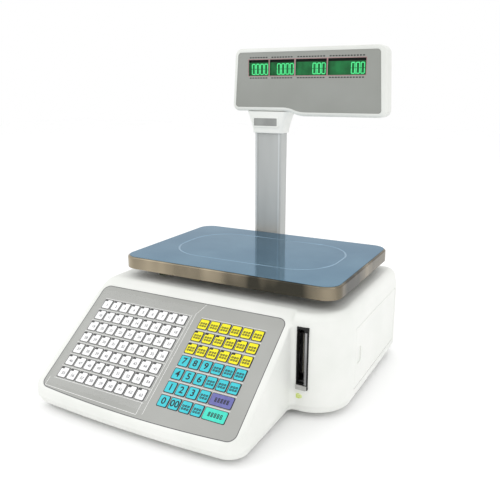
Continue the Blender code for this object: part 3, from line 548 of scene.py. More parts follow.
# ---- Keyboard face ----
# A reverse-printed polycarbonate film with a velvet face, over a polyester switch membrane
# and a steel backing plate. White hairlines part its fields.
velvet = clouded("printed_velvet_film", "#a7a8a4", 0.55, "#a3a4a0", "#abaca8", 120 * mm,
                 (0.5, 0.6), (0.6 * mm, 0.02 * mm), IOR=1.5)
polyester = clouded("switch_polyester", "#c9c7b6", 0.3, "#bfbdab", "#d2d0c2", 20 * mm,
                    (0.24, 0.36), IOR=1.64)

face_top = -0.25 * mm
face = overlay_block("keyboard_face", face_top - 0.6 * mm, face_top)
dress(onto_deck(face), velvet, "keypad_overlay")
paint(polyester, "keypad_membrane")
paint(zinc, "keypad_backplate")

# The inks are screen printed a few hundredths of a millimetre thick.
white_ink = clouded("white_screen_ink", "#f6f6f4", 0.5, "#f0f0ee", "#fafaf9", 6 * mm, (0.45, 0.55))
line_low, line_high = face_top, face_top + 0.05 * mm


def plate(name, low, high, radius, steps=3):
    """A flat plate with its corners rounded."""
    piece = block(name, low, high)
    round_off(piece, along("Z"), radius, steps)
    return piece


def gather(name, pieces):
    """Joins pieces into one."""
    only(pieces[0])
    for piece in pieces:
        piece.select_set(True)
    bpy.ops.object.join()
    pieces[0].name = name
    return pieces[0]


def spread(name, pattern, places):
    """Copies a piece that was made round the origin to each place, all in one piece."""
    made = []
    for x, y in places:
        twin = pattern.copy()
        twin.data = pattern.data.copy()
        bpy.context.collection.objects.link(twin)
        twin.location.xy = (x, y)
        made.append(twin)
    bpy.data.objects.remove(pattern)
    return settle(gather(name, made))


preset_left, preset_pitch = -170.6 * mm, 16.72 * mm
grid_left, grid_pitch = -1.2 * mm, 16.7 * mm
row_front, row_pitch = 17.2 * mm, 19.7 * mm
hair = 0.5 * mm


def line(start, end):
    """A printed hairline between two points of the face."""
    start, end = Vector(start) * mm, Vector(end) * mm
    along = end - start
    piece = block("hairline", (0, -hair / 2, line_low), (along.length, hair / 2, line_high))
    piece.rotation_euler.z = math.atan2(along.y, along.x)
    piece.location.xy = start
    return settle(piece)


lines = [
    line((-17.4, 19), (-17.4, 155)), line((-12.4, 1), (-12.4, 157)), line((-12.4, 157), (-3.4, 175.6)),
    line((-179, 2), (-21, -1.2)), line((-179, 2), (-179, 15.5)), line((-21, -1.2), (-21, 15.5)),
]
grid_right, preset_right = grid_left + 6 * grid_pitch, preset_left + 9 * preset_pitch
for row in range(8):
    y = (row_front + row * row_pitch - 1.7 * mm) / mm
    lines.append(line((preset_left / mm - 1.4, y), (preset_right / mm + 1.2, y)))
    if row:
        lines.append(line((grid_left / mm, y), (grid_right / mm, y)))
dress(onto_deck(gather("hairlines", lines)), white_ink)

# A dark grey ring round the face's edge is painted shadow in the gap between the face and its recess.
edge_shadow_finish = clouded("painted_face_edge_shadow", "#55565a", 0.5, "#4d4e52", "#5f6064", 20 * mm, (0.45, 0.55))
rim = overlay_block("face_rim_painted_shadow", line_low, line_high)
work(rim, overlay_block("inside", -0.01, 0.01, -0.7 * mm))
dress(onto_deck(rim), edge_shadow_finish)

# ---- Keys ----
# Each key is a printed panel with a black outline that is heavier on its right. The preset
# keys are white and have a notched corner; the others are coloured in groups.
black_ink = clouded("black_screen_ink", "#151518", 0.5, "#121215", "#19191c", 6 * mm, (0.45, 0.55))
key_wide, key_deep = 15.9 * mm, 16.6 * mm
outline_high, key_high, mark_high = face_top + 0.06 * mm, face_top + 0.14 * mm, face_top + 0.2 * mm


def key_place(left, pitch, column, row):
    """The middle of a key, counted from the left and from the back row."""
    return left + (column + 0.5) * pitch, row_front + (6 - row) * row_pitch + key_deep / 2


def grid(columns, rows):
    """The middles of the keys in these columns and rows of the right-hand field."""
    return [key_place(grid_left, grid_pitch, c, r) for r in rows for c in columns]


presets = [key_place(preset_left, preset_pitch, c, r) for r in range(7) for c in range(9)]
numbers = grid(range(6), range(5)) + grid(range(4), (5, 6))
outline = plate("outline", (-key_wide / 2, -key_deep / 2, face_top),
                (key_wide / 2, key_deep / 2, outline_high), 1.8 * mm)
dress(onto_deck(spread("key_outlines", outline, presets + numbers)), black_ink)


def key_face(notch):
    """One key's coloured panel, with its back left corner cut away where it has a notch."""
    panel = plate("panel", (-key_wide / 2 + 0.9 * mm, -key_deep / 2 + 1.1 * mm, face_top),
                  (key_wide / 2 - 1.9 * mm, key_deep / 2 - 0.8 * mm, key_high), 1.4 * mm)
    if notch:
        corner = plate("corner", (-key_wide, key_deep / 2 - 3.2 * mm, -1),
                       (-key_wide / 2 + 5.6 * mm, key_deep, 1), 0.9 * mm)
        work(panel, corner)
    return panel


inks = {
    "preset": ("#fbfbfb", "#f4f4f4"), "yellow": ("#faf000", "#f2e600"), "cyan": ("#3bcdd8", "#2ec2cf"),
    "purple": ("#6c6eae", "#6365a5"), "aqua": ("#45e0c8", "#36d6be"),
}
key_inks = {}
for name, (light, dark) in inks.items():
    key_inks[name], tree, shader = new_finish(name + "_key_ink", light, 0.45)
    gloss(tree, shader, shade(tree, shader, dark, light, 5 * mm), 0.4, 0.5)
spread_of = {
    "preset": (True, presets),
    "yellow": (False, grid(range(6), [0])),
    "cyan": (False, grid(range(6), (3, 4)) + grid(range(4), (5, 6))),
}
for name, (notch, places) in spread_of.items():
    keys = spread(name + "_keys", key_face(notch), places)
    dress(onto_deck(keys), key_inks[name])
keys = gather("yellow_function_keys", [spread("part", key_face(True), grid(range(5), (1, 2))),
                                       spread("part", key_face(False), grid([5], (1, 2)))])
dress(onto_deck(keys), key_inks["yellow"])
for name, row in (("purple", 5), ("aqua", 6)):
    x, y = key_place(grid_left, grid_pitch, 4.5, row)
    wide = grid_pitch * 2 - 0.8 * mm
    rim = plate("rim", (x - wide / 2, y - key_deep / 2, face_top),
                (x + wide / 2, y + key_deep / 2, outline_high), 2 * mm)
    dress(onto_deck(rim), black_ink).name = name + "_key_outline"
    panel = plate("panel", (x - wide / 2 + 0.6 * mm, y - key_deep / 2 + 0.9 * mm, face_top),
                  (x + wide / 2 - 1.4 * mm, y + key_deep / 2 - 0.6 * mm, key_high), 1.6 * mm)
    dress(onto_deck(panel), key_inks[name]).name = name + "_key"


def figure(text, height, place, low, high):
    """A printed figure of that height, centred on a place."""
    bpy.ops.object.select_all(action="DESELECT")
    bpy.ops.object.text_add(location=(*place, low))
    piece = bpy.context.active_object
    piece.data.body = text
    piece.data.size = height / 0.72  # the font's digits are 0.72 of its size
    piece.data.align_x, piece.data.align_y = "CENTER", "CENTER"
    piece.data.resolution_u = 3
    piece.data.offset = height * 0.028
    piece.data.extrude = (high - low) / 2
    bpy.ops.object.convert(target="MESH")
    return settle(bpy.context.active_object)


figures = []
for text, column, row in (
    ("7", 0, 3), ("8", 1, 3), ("9", 2, 3), ("4", 0, 4), ("5", 1, 4), ("6", 2, 4),
    ("1", 0, 5), ("2", 1, 5), ("3", 2, 5), ("0", 0, 6), ("00", 1, 6),
):
    x, y = key_place(grid_left, grid_pitch, column, row)
    figures.append(figure(text, 9.2 * mm, (x - 0.4 * mm, y), key_high, mark_high + 0.06 * mm))
dress(onto_deck(gather("key_figures", figures)), black_ink)

grey_ink = clouded("grey_screen_ink", "#6d6d70", 0.5, "#646468", "#77777a", 4 * mm, (0.45, 0.55))
figures = [figure(str(i + 1), 4.2 * mm, (x + 0.4 * mm, y - 1.2 * mm), key_high, mark_high)
           for i, (x, y) in enumerate(presets)]
dress(onto_deck(gather("preset_figures", figures)), grey_ink)

# Blank marks stand where the function keys' words would be.
marked = grid(range(6), range(3)) + grid((3, 4, 5), (3, 4)) + grid([3], [5]) + grid((2, 3), [6])
mark = plate("mark", (-1.5 * mm, -1.4 * mm, key_high), (1.5 * mm, 1.4 * mm, mark_high), 0.5 * mm, 2)
work(mark, block("gap", (-0.9 * mm, -0.3 * mm, -1), (0.9 * mm, 0.3 * mm, 1)))
spots = [(x - 0.5 * mm + 3.7 * mm * column, y - 0.6 * mm + 3.9 * mm * row)
         for x, y in marked for row in (-0.5, 0.5) for column in (-1, 0, 1)]
wide_marks = [(x + 4.2 * mm * step, y + 3.1 * mm * rise) for x, y in grid([4.5], (5, 6))
              for step in (-2, -1, 0, 1, 2) for rise in (-0.5, 0.5)]
dress(onto_deck(spread("key_marks", mark, spots + wide_marks)), black_ink)

# The clear pocket that lies over the preset keys, so that their names can be changed.
pocket_film, tree, shader = new_finish("clear_pocket_film", "#ffffff", 0.12, IOR=1.5, Alpha=0.03)
gloss(tree, shader, grain(tree, shader, 30 * mm, 0.02 * mm), 0.08, 0.16)
pocket = plate("pocket", (-180 * mm, 6 * mm, face_top + 0.3 * mm),
               (-12 * mm, 168 * mm, face_top + 0.5 * mm), 4 * mm)
dress(onto_deck(pocket), pocket_film, "preset_pocket_film")

# ---- Weighing pan ----
# A tray drawn from 1 mm stainless sheet and brushed along its rim. Its face still wears the
# blue polyethylene film that it was pressed with, and an oval bead stiffens it.
stainless, tree, shader = new_finish("brushed_stainless_painted_reflections", "#a0968a", 0.26, 1.0)
# The steel's colour drifts between dark and pale tan patches. These are painted reflections of the room; the
# fine stretched grain below is the brushing.
cloud = shade(tree, shader, "#3c3a33", "#a89c86", 110 * mm, (1, 1, 0.3), 0.42, 0.62)
cloud.noise_dimensions = "4D"
cloud.inputs["W"].default_value = 5.0
gloss(tree, shader, cloud, 0.2, 0.34)
grain(tree, shader, 0.5 * mm, 0.02 * mm, (0.04, 0.04, 1))
film_blue, tree, shader = new_finish("blue_protective_film", "#6c8ea4", 0.07, 0.75,
                                     Specular_Tint=linear("#ced4da"))
gloss(tree, shader, shade(tree, shader, "#66889f", "#7294a9", 90 * mm), 0.05, 0.1)
grain(tree, shader, 60 * mm, 0.3 * mm)

pan_low, pan_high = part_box("weighing_pan")
sheet = 1 * mm
pan = plate("pan", pan_low, pan_high, 25 * mm, 14)
round_off(pan, sharp_at("Z", pan_high.z), 3 * mm, 5)
inner = plate("inner", (pan_low.x + sheet, pan_low.y + sheet, 0),
              (pan_high.x - sheet, pan_high.y - sheet, pan_high.z - sheet), 24 * mm, 14)
round_off(inner, sharp_at("Z", pan_high.z - sheet), 2 * mm, 3)
work(pan, inner)
dress(pan, stainless, "weighing_pan", body="pan")

film_low, film_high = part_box("pan_film")
film = plate("film", (film_low.x, film_low.y, pan_high.z + 0.05 * mm), film_high, 22 * mm, 14)
bead_centre, bead_wide, bead_deep, bead_end = (3.5 * mm, 69 * mm), 266 * mm, 152 * mm, 62 * mm
bpy.ops.object.select_all(action="DESELECT")
bpy.ops.mesh.primitive_torus_add(
    location=(*bead_centre, film_high.z + 3 * mm - 0.44 * mm), major_radius=bead_end,
    minor_radius=3 * mm, major_segments=96, minor_segments=64,
)
bead = settle(bpy.context.active_object)
for side, way in ((1, 0), (-1, 0), (1, 1), (-1, 1)):
    pick(bead, "VERT", lambda v: side * (v.co[way] - bead_centre[way]) > 0.01 * mm)
    stretch = ((bead_wide, bead_deep)[way] / 2 - bead_end) * side
    bpy.ops.transform.translate(value=(stretch, 0, 0) if way == 0 else (0, stretch, 0))
    close()
work(film, bead)

# A pale line is painted along the bead as the highlight that its slopes catch.
across = add(tree, "TexCoord", {}).outputs["Object"]
for operation, amount in (
    ("SUBTRACT", (*bead_centre, 0)), ("MULTIPLY", (1, 1, 0)), ("ABSOLUTE", (0, 0, 0)),
    ("SUBTRACT", (bead_wide / 2 - bead_end, bead_deep / 2 - bead_end, 0)), ("MAXIMUM", (0, 0, 0)),
):
    step = add(tree, "VectorMath", {"operation": operation}, [(0, across)])
    step.inputs[1].default_value = amount
    across = step.outputs[0]
reach = add(tree, "VectorMath", {"operation": "LENGTH"}, [(0, across)])
on_bead = add(tree, "Math", {"operation": "COMPARE"}, [(0, reach.outputs["Value"])])
on_bead.inputs[1].default_value, on_bead.inputs[2].default_value = bead_end, 1.3 * mm
painted_bead_highlight = add(tree, "MixRGB", {"Color2": linear("#9ab6ca")},
                [("Fac", on_bead.outputs[0]), ("Color1", shader.inputs["Base Color"].links[0].from_socket)])
tree.links.new(painted_bead_highlight.outputs[0], shader.inputs["Base Color"])
dress(film, film_blue, "pan_film", body="pan", angle=50)

# ---- Label exit ----
# The black moulded mouth of the printer, with the steel bar that peels each label off its
# liner on the right, and a small green inspection dot on the casing below.
black_abs = clouded("black_moulded_abs", "#161617", 0.55, "#121213", "#1b1b1c", 15 * mm,
                    (0.5, 0.6), (0.7 * mm, 0.03 * mm), IOR=1.53, Specular_IOR_Level=0.3)
bar_steel = clouded("ground_bar_steel", "#98989a", 0.3, "#8a8a8c", "#a8a8a9", 12 * mm,
                    (0.26, 0.4), metallic=1.0, stretch=(1, 1, 0.2))

bar_low, bar_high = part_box("peel_bar")
mouth_front = -85.4 * mm
mouth = block("mouth", (slot_low.x, mouth_front, slot_low.z + 0.1 * mm), slot_high)
round_off(mouth, sharp_at("Y", mouth_front), 0.7 * mm, 3)
work(mouth, block("way", (136.5 * mm, -0.1, 50.5 * mm), (145.5 * mm, -0.06, 127.5 * mm)))
work(mouth, block("seat", (bar_low.x - 0.3 * mm, -0.1, bar_low.z - 0.3 * mm),
                  (bar_high.x + 0.3 * mm, -84 * mm, bar_high.z + 0.3 * mm)))
round_off(mouth, lambda e: sharp(e) and middle(e).y < -85 * mm and 136 * mm < middle(e).x < 146 * mm
          and 50 * mm < middle(e).z < 128 * mm, 0.4 * mm, 2)
dress(mouth, black_abs, "exit_frame")
ledge_grey = clouded("grey_moulded_abs", "#a9a9a6", 0.45, "#a0a09d", "#b3b3b0", 15 * mm,
                     (0.4, 0.5), IOR=1.53)
ledge = block("label_ledge", at(135.4, -88.4, 43), at(150.6, -85.5, 49.4))
round_off(ledge, sharp, 0.8 * mm, 3)
dress(ledge, ledge_grey)
bar = block("peeling_bar", bar_low, bar_high)
round_off(bar, along("Z"), 0.7 * mm, 4)
round_off(bar, sharp, 0.2 * mm, 2)
dress(bar, bar_steel, "peel_bar")
dot_green = clouded("printed_sticker", "#d3e27c", 0.5, "#bcd04f", "#e9f0b4", 3 * mm, (0.45, 0.55))
dot = drum("inspection_dot", (138 * mm, bay_front - 0.12 * mm, 32 * mm),
           (138 * mm, bay_front, 32 * mm), 6 * mm)
pick(dot, "VERT", lambda v: True)
bpy.ops.transform.resize(value=(1, 1, 0.62), center_override=(0, 0, 32 * mm))
close()
dress(dot, dot_green)

# ---- Printer frame and drive ----
# Folded zinc-plated sheet carries the roll, the rollers and the stepping motor, which drives
# the platen through three moulded nylon gears.
nylon = clouded("moulded_nylon", "#ded9c8", 0.42, "#d3cdb9", "#e5e1d3", 6 * mm,
                (0.36, 0.5), IOR=1.53, Subsurface_Weight=0.1)
paint(zinc, "printer_frame", "head_carrier")
paint(nylon, "platen_gear", "idler_gear", "motor_pinion")
paint(black_abs, "label_sensor")

axis, r, low, high = upright("stepper_motor")
motor = lathe("motor_can", axis, (
    (r - 1.4 * mm, low), (r - 0.4 * mm, low + 0.4 * mm), (r, low + 1.4 * mm), (r, low + 9 * mm),
    (r - 0.4 * mm, low + 9.4 * mm), (r - 0.4 * mm, low + 11.6 * mm), (r, low + 12 * mm),
    (r, low + 20 * mm), (r - 1 * mm, low + 21 * mm), (5 * mm, low + 21.2 * mm), (5 * mm, high),
), 64)
dress(motor, zinc, "stepper_motor")

# ---- Rollers and print head ----
# The platen is black nitrile rubber ground true on a steel shaft; the thermal head carries a
# glazed ceramic strip along its edge and is let off by a blue lever on top.
x, y = 147 * mm, -62 * mm
shaft_low, shaft_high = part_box("platen_shaft")
shaft = lathe("platen_spindle", (x, y), (
    (1.9 * mm, shaft_low.z), (2.4 * mm, shaft_low.z + 0.5 * mm),
    (2.4 * mm, shaft_high.z - 0.5 * mm), (1.9 * mm, shaft_high.z),
), 32)
dress(shaft, bar_steel, "platen_shaft", body="platen")
roller_low, roller_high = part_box("platen_roller")
r = (roller_high.x - roller_low.x) / 2
roller = lathe("platen_sleeve", (x, y), (
    (r - 0.8 * mm, roller_low.z), (r, roller_low.z + 0.8 * mm),
    (r, roller_high.z - 0.8 * mm), (r - 0.8 * mm, roller_high.z),
), 64)
work(roller, drum("bore", (x, y, 0.05), (x, y, 0.13), 2.8 * mm))
dress(roller, rubber, "platen_roller", body="platen")
head_low, head_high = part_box("thermal_head")
paint(black_abs, "thermal_head")
ceramic = clouded("glazed_ceramic", "#cfc9b4", 0.14, "#c4bda6", "#d9d4c2", 8 * mm, (0.1, 0.2), IOR=1.6)
heater = plate("heater_strip", (138.3 * mm, head_low.y + 0.2 * mm, head_low.z + 2 * mm),
               (138.9 * mm, head_low.y + 3.2 * mm, head_high.z - 2 * mm), 0.2 * mm, 2)
dress(heater, ceramic, body="head_arm")

blue_abs = clouded("blue_moulded_lever", "#2b5fae", 0.38, "#26579f", "#3067b8", 8 * mm,
                   (0.33, 0.45), IOR=1.53)
arm_low, arm_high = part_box("release_lever")
lever_x, lever_y = 118 * mm, -66 * mm
lever_top = 132 * mm
lever = plate("head_lever", (arm_low.x, arm_low.y, 127.2 * mm),
              (arm_high.x, arm_high.y, lever_top), 4 * mm, 6)
pick(lever, "VERT", lambda v: v.co.x > 150 * mm)
bpy.ops.transform.resize(value=(1, 0.8, 1), center_override=(arm_high.x, -65 * mm, 0))
close()
round_off(lever, sharp_at("Z", lever_top), 1 * mm, 4)
for i in range(4):
    rib_x = 143 * mm + i * 3.6 * mm
    work(lever, block("rib", (rib_x, -0.08, 131.2 * mm), (rib_x + 1.6 * mm, -0.05, 140 * mm)))
work(lever, drum("stem", (lever_x, lever_y, arm_low.z), (lever_x, lever_y, 129 * mm), 3 * mm, 32), "UNION")
dress(lever, blue_abs, "release_lever", body="lever")

# ---- Label roll and spools ----
# Thermal labels on a glassine liner, wound on a card core. The hub, the rewind spool and
# the guide roller are turned or moulded round their upright spindles.
paper, tree, shader = new_finish("thermal_label_paper", "#f1f0ec", 0.62, IOR=1.5)
shade(tree, shader, "#e6e4de", "#f7f6f3", 14 * mm)
place = add(tree, "TexCoord", {})
turn = add(tree, "Mapping", {"Location": (-128 * mm, -95 * mm, 0), "Scale": (1, 1, 0)},
           [("Vector", place.outputs["Object"])])
# The real turns are 0.12 mm apart, and are drawn at 0.9 mm so that they show.
turns = add(tree, "TexWave", {"wave_type": "RINGS", "rings_direction": "SPHERICAL",
                              "Scale": 0.314 / (0.9 * mm), "Distortion": 0.4},
            [("Vector", turn.outputs[0])])
layer = add(tree, "Bump", {"Distance": 0.06 * mm, "Strength": 0.5}, [("Height", turns.outputs[1])])
tree.links.new(layer.outputs[0], shader.inputs["Normal"])
gloss(tree, shader, turns, 0.55, 0.7)
card_core = clouded("wound_card_core", "#b99a6d", 0.8, "#a98a5e", "#c6a97e", 5 * mm,
                    relief=(0.9 * mm, 0.04 * mm), stretch=(1, 1, 3), IOR=1.5)

x, y = 128 * mm, 95 * mm
roll_low, roll_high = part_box("label_roll")
r = (roll_high.x - roll_low.x) / 2
roll = lathe("label_roll_paper", (x, y), (
    (r - 0.4 * mm, roll_low.z), (r, roll_low.z + 0.4 * mm),
    (r, roll_high.z - 0.4 * mm), (r - 0.4 * mm, roll_high.z),
), 96)
work(roll, drum("bore", (x, y, 0.05), (x, y, 0.13), 18.4 * mm, 64))
dress(roll, paper, "label_roll", body="supply_reel")
core = lathe("roll_core", (x, y), (
    (18.2 * mm, roll_low.z), (18.2 * mm, roll_high.z - 0.3 * mm), (17.9 * mm, roll_high.z),
), 64)
work(core, drum("bore", (x, y, 0.05), (x, y, 0.13), 15.8 * mm, 64))
dress(core, card_core, body="supply_reel")


def spindle(name, node, body, finish, centre, profile, sides=64):
    """Turns a spool from (radius, height) in millimetres and hangs it in its node's place."""
    piece = lathe(name, [c * mm for c in centre], [(r * mm, h * mm) for r, h in profile], sides)
    return dress(piece, finish, node, body=body)


spindle("supply_spool", "supply_hub", "supply_reel", black_abs, (128, 95), (
    (4, 44), (4, 52.6), (37.4, 52.6), (38, 53.2), (38, 54.4), (37.4, 55), (20, 55.1), (15, 55.4),
    (15, 127), (14.4, 128), (12, 131),
))
spindle("rewind_bobbin", "rewind_spool", "liner_spool", black_abs, (165, -4), (
    (3, 44), (3, 52.6), (17, 52.6), (17.5, 53), (17.5, 54.2), (17, 54.6), (8.5, 54.9), (7, 120),
    (6.6, 121.4), (5.5, 122),
))
spindle("guide_bar", "guide_roller", "web_guide", bar_steel, (147, 26), (
    (2, 46), (2, 52.6), (4.6, 52.6), (5, 53), (5, 53.8), (3.5, 55), (3.5, 120), (5, 121), (5, 122.1),
    (4.6, 122.5),
), 48)

# ---- Bay door ----
# A flat moulded panel that swings out on two pins at its rear edge, with a finger recess
# near the front and a stepped edge that lands on the casing.
grip_y, grip_z = (-14 * mm, 2 * mm), (60 * mm, 84 * mm)
door = block("door", (door_low.x, door_low.y, 27 * mm), (door_high.x, door_high.y, 116 * mm))
round_off(door, along("X"), 3 * mm, 5)
round_off(door, sharp_at("X", door_high.x), 0.8 * mm, 4)
grip = block("grip", (door_high.x - 1.4 * mm, grip_y[0], grip_z[0]), (0.21, grip_y[1], grip_z[1]))
round_off(grip, along("X"), 4 * mm, 6)
work(door, grip)
for height in at(45, 71.5, 98):
    work(door, block("rib", (door_low.x - 0.1 * mm, 20 * mm, height),
                     (door_low.x + 1.2 * mm, 150 * mm, height + 1.6 * mm)))
for low, high in ((door_low.z, 29 * mm), (114 * mm, door_high.z)):
    work(door, drum("pin", (193.5 * mm, 170 * mm, low), (193.5 * mm, 170 * mm, high), 1.1 * mm, 24), "UNION")
dress(door, white_abs, "printer_door", body="bay_door")

# ---- Electronics and rear sockets ----
# Glass-fibre boards under green solder mask, a folded steel supply, and in the rear wall a
# moulded mains inlet with its rocker and a plated socket plate for the data leads.
mask, tree, shader = new_finish("solder_mask", "#1f6b3c", 0.32, IOR=1.55)
cloud = shade(tree, shader, "#185530", "#2a7f49", 3 * mm, low=0.45, high=0.55)
gloss(tree, shader, cloud, 0.25, 0.45)
paint(mask, "main_board", "display_board")
paint(zinc, "power_supply", "data_ports")

inlet_low, inlet_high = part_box("power_inlet")
inlet = plate("inlet_face", (inlet_low.x, 193 * mm, inlet_low.z), inlet_high, 0.01 * mm, 1)
round_off(inlet, along("Y"), 2.5 * mm, 5)
round_off(inlet, sharp_at("Y", inlet_high.y), 0.6 * mm, 3)
work(inlet, block("shell", at(103, 172, 33), at(131, 194, 55)), "UNION")
work(inlet, block("box", at(133, 186, 31), at(157, 194, 57)), "UNION")
recess = block("recess", at(105.5, 176, 35.5), at(128.5, 205, 52.5))
round_off(recess, lambda e: runs(e, "Y") and middle(e).z > 50 * mm, 5 * mm, 3)
work(inlet, recess)
work(inlet, block("rocker_way", at(136, 180, 34), at(154, 205, 54)))
dress(inlet, black_abs, "power_inlet")
blade_end = 186 * mm
blades = [plate("blade", ((x - 1) * mm, 175 * mm, (z - 2) * mm),
                ((x + 1) * mm, blade_end, (z + 2) * mm), 0.3 * mm, 2)
          for x, z in ((111, 42), (123, 42), (117, 47))]
blades = gather("inlet_blades", blades)
round_off(blades, lambda e: sharp(e) and middle(e).y > blade_end - 1 * mm, 0.4 * mm, 2)
dress(blades, zinc)
paint(black_abs, "power_switch")

# ---- Pole socket and column ----
# The socket is a white ABS block screwed to the rear wall. The column is an extruded aluminium
# tube in a grey powder coat, with a shallow channel between two raised front ribs.
socket_low, socket_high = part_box("pole_socket")
socket = block("socket", socket_low, socket_high)
round_off(socket, lambda e: runs(e, "Z") and middle(e).y > 230 * mm, 10 * mm, 8)
round_off(socket, sharp_at("Z", socket_high.z), 2 * mm, 4)
pole_low, pole_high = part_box("pole_column")
way = block("way", (pole_low.x - 0.4 * mm, pole_low.y - 0.4 * mm, 15.5 * mm),
            (pole_high.x + 0.4 * mm, pole_high.y + 0.4 * mm, 0.2))
round_off(way, along("Z"), 4.4 * mm, 4)
work(socket, way)
screw_z = 90 * mm
work(socket, drum("screw_way", (pole_x, 225 * mm, screw_z), (pole_x, 240 * mm, screw_z), 2.9 * mm, 24))
dress(socket, white_abs, "pole_socket")
screw_low, screw_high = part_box("pole_clamp_screw")
screw = drum("clamp_screw", (pole_x, screw_low.y, screw_z), (pole_x, screw_high.y, screw_z), 2.5 * mm, 32)
round_off(screw, sharp_at("Y", screw_high.y), 0.5 * mm, 3)
work(screw, drum("hex", (pole_x, screw_high.y - 1.6 * mm, screw_z), (pole_x, 0.24, screw_z), 1.4 * mm, 6))
dress(screw, zinc, "pole_clamp_screw")

coat = clouded("coated_column", "#b6b8b6", 0.36, "#aeb0ae", "#bcbebc", 50 * mm,
               (0.32, 0.42), (0.8 * mm, 0.03 * mm), stretch=(1, 1, 0.15), IOR=1.5)
column = block("column", pole_low, pole_high)
round_off(column, along("Z"), 4 * mm, 6)
channel = block("channel", (pole_x - 19.5 * mm, pole_low.y - 5 * mm, 0),
                (pole_x + 19.5 * mm, pole_low.y + 1.2 * mm, 0.5))
round_off(channel, lambda e: runs(e, "Z") and middle(e).y > pole_low.y, 1 * mm, 3)
work(column, channel)
work(column, block("bore", (pole_low.x + 2.4 * mm, pole_low.y + 3.4 * mm, 0),
                   (pole_high.x - 2.4 * mm, pole_high.y - 2.4 * mm, 0.5)))
dress(column, coat, "pole_column")
# The raised ribs take a paler copy of the coat. The paler tone is painted highlight along the column's front
# edges.
rib_coat_painted_highlight = clouded("coated_rib_painted_highlight", "#cdd0d0", 0.3, "#c6c9c9", "#d4d7d7", 40 * mm,
                   (0.26, 0.36), stretch=(1, 1, 0.15), IOR=1.5)
for side in (-1, 1):
    rib_x = pole_x + side * 21.8 * mm
    rib = block("rib", (rib_x - 1.2 * mm, pole_low.y - 0.25 * mm, 0.127),
                (rib_x + 1.2 * mm, pole_low.y + 0.3 * mm, 0.3525))
    round_off(rib, lambda e: runs(e, "Z") and middle(e).y < pole_low.y, 0.2 * mm, 3)
    rib.name = f"column_rib_{side + 2}"
    dress(rib, rib_coat_painted_highlight)

# ---- Neck ----
# A white ABS moulding that flares from the column to the head, with a raised frame round a
# small blank window.
# A darker copy of the white ABS for the head shells. Its darker tone is painted shade, for the dimmer look of
# the head's faces.
head_abs_painted_shade = clouded("white_abs_painted_shade_copy", "#dddfda", 0.42, "#d9dbd6", "#e1e3de", 60 * mm,
                   (0.38, 0.48), (0.7 * mm, 0.02 * mm), IOR=1.53)
pole_y = 214.5 * mm
neck_foot, wide, deep, height = 353, 28.8, 17.0, 358
neck = plate("neck", (pole_x - wide * mm, pole_y - deep * mm, neck_foot * mm),
             (pole_x + wide * mm, pole_y + deep * mm, height * mm), 6 * mm, 8)
pick(neck, "FACE", lambda f: f.normal.z > 0.9)
for next_wide, next_deep, next_height in (
    (30.2, 17.5, 364), (32, 17.8, 370), (34.6, 18.1, 378), (39, 18.6, 390),
):
    bpy.ops.mesh.extrude_region_move(TRANSFORM_OT_translate={"value": (0, 0, (next_height - height) * mm)})
    bpy.ops.transform.resize(value=(next_wide / wide, next_deep / deep, 1),
                             center_override=(pole_x, pole_y, next_height * mm))
    wide, deep, height = next_wide, next_deep, next_height
close()
round_off(neck, sharp_at("Z", neck_foot * mm), 1.5 * mm, 4)
work(neck, block("way", (pole_low.x - 0.3 * mm, pole_low.y - 0.3 * mm, 0.34),
                 (pole_high.x + 0.3 * mm, pole_high.y + 0.3 * mm, 0.388)))
dress(neck, white_abs, "display_neck")


def stand_up(piece, y, customer=False):
    """Stands a piece that was made flat on the head's face, towards the operator or the customer."""
    piece.rotation_euler = (math.radians(90), 0, math.radians(180) if customer else 0)
    piece.location.y = y
    return settle(piece)


blank_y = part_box("neck_window")[0].y
surround = plate("neck_window_surround", at(-78, 363, -3), (-29 * mm, 381 * mm, 0), 2 * mm, 4)
round_off(surround, sharp_at("Z", 0), 0.5 * mm, 3)
work(surround, block("opening", (-75.5 * mm, 365.5 * mm, -1), (-31.5 * mm, 378.5 * mm, 1)))
dress(stand_up(surround, 195.6 * mm), white_abs)
window_film = clouded("grey_window_film", "#8f918e", 0.35, "#888a87", "#989a97", 25 * mm,
                      (0.3, 0.42), IOR=1.58)
blank = plate("neck_window_blank", at(-75.2, 365.8, -0.5), (-31.8 * mm, 378.2 * mm, 0), 0.8 * mm, 3)
dress(stand_up(blank, blank_y), window_film, "neck_window")

# ---- Display head ----
# Two moulded white shells close on each other at a seam round the edge. Each has a printed
# grey panel let into its face, with openings for the read-outs.
head_front, head_rear, head_seam = 195 * mm, 234 * mm, 214.5 * mm


def head_slab(name, near, far, inset=0.0):
    """A slab of the head's outline. Its right part hangs lower, and its sides lean in."""
    left, right = -118 * mm + inset, 157 * mm - inset
    low_left, low_right, high = 390.5 * mm + inset, 383 * mm + inset, 494 * mm - inset
    slab = block(name, (left, near, low_right), (right, far, high))
    step = block("step", (left - 0.1, near - 0.1, low_right - 0.1), (9 * mm, far + 0.1, low_left))
    pick(step, "VERT", lambda v: v.co.x > 0 and v.co.z > low_right)
    bpy.ops.transform.translate(value=(-19 * mm, 0, 0))
    close()
    pick(step, "VERT", lambda v: v.co.x > 0)
    bpy.ops.transform.translate(value=(19 * mm * 0.1 / (low_left - low_right), 0, 0))
    close()
    work(slab, step)
    for side, edge in ((-1, left), (1, right)):
        pick(slab, "VERT", lambda v: v.co.z > high - 1 * mm and abs(v.co.x - edge) < 1 * mm)
        bpy.ops.transform.translate(value=(-side * 6 * mm, 0, 0))
        close()
    round_off(slab, lambda e: runs(e, "Y") and -0.02 < middle(e).x < 0.02, 9 * mm, 5)
    round_off(slab, lambda e: runs(e, "Y") and abs(middle(e).x) > 0.1, max(12 * mm - inset, 3 * mm), 8)
    return slab


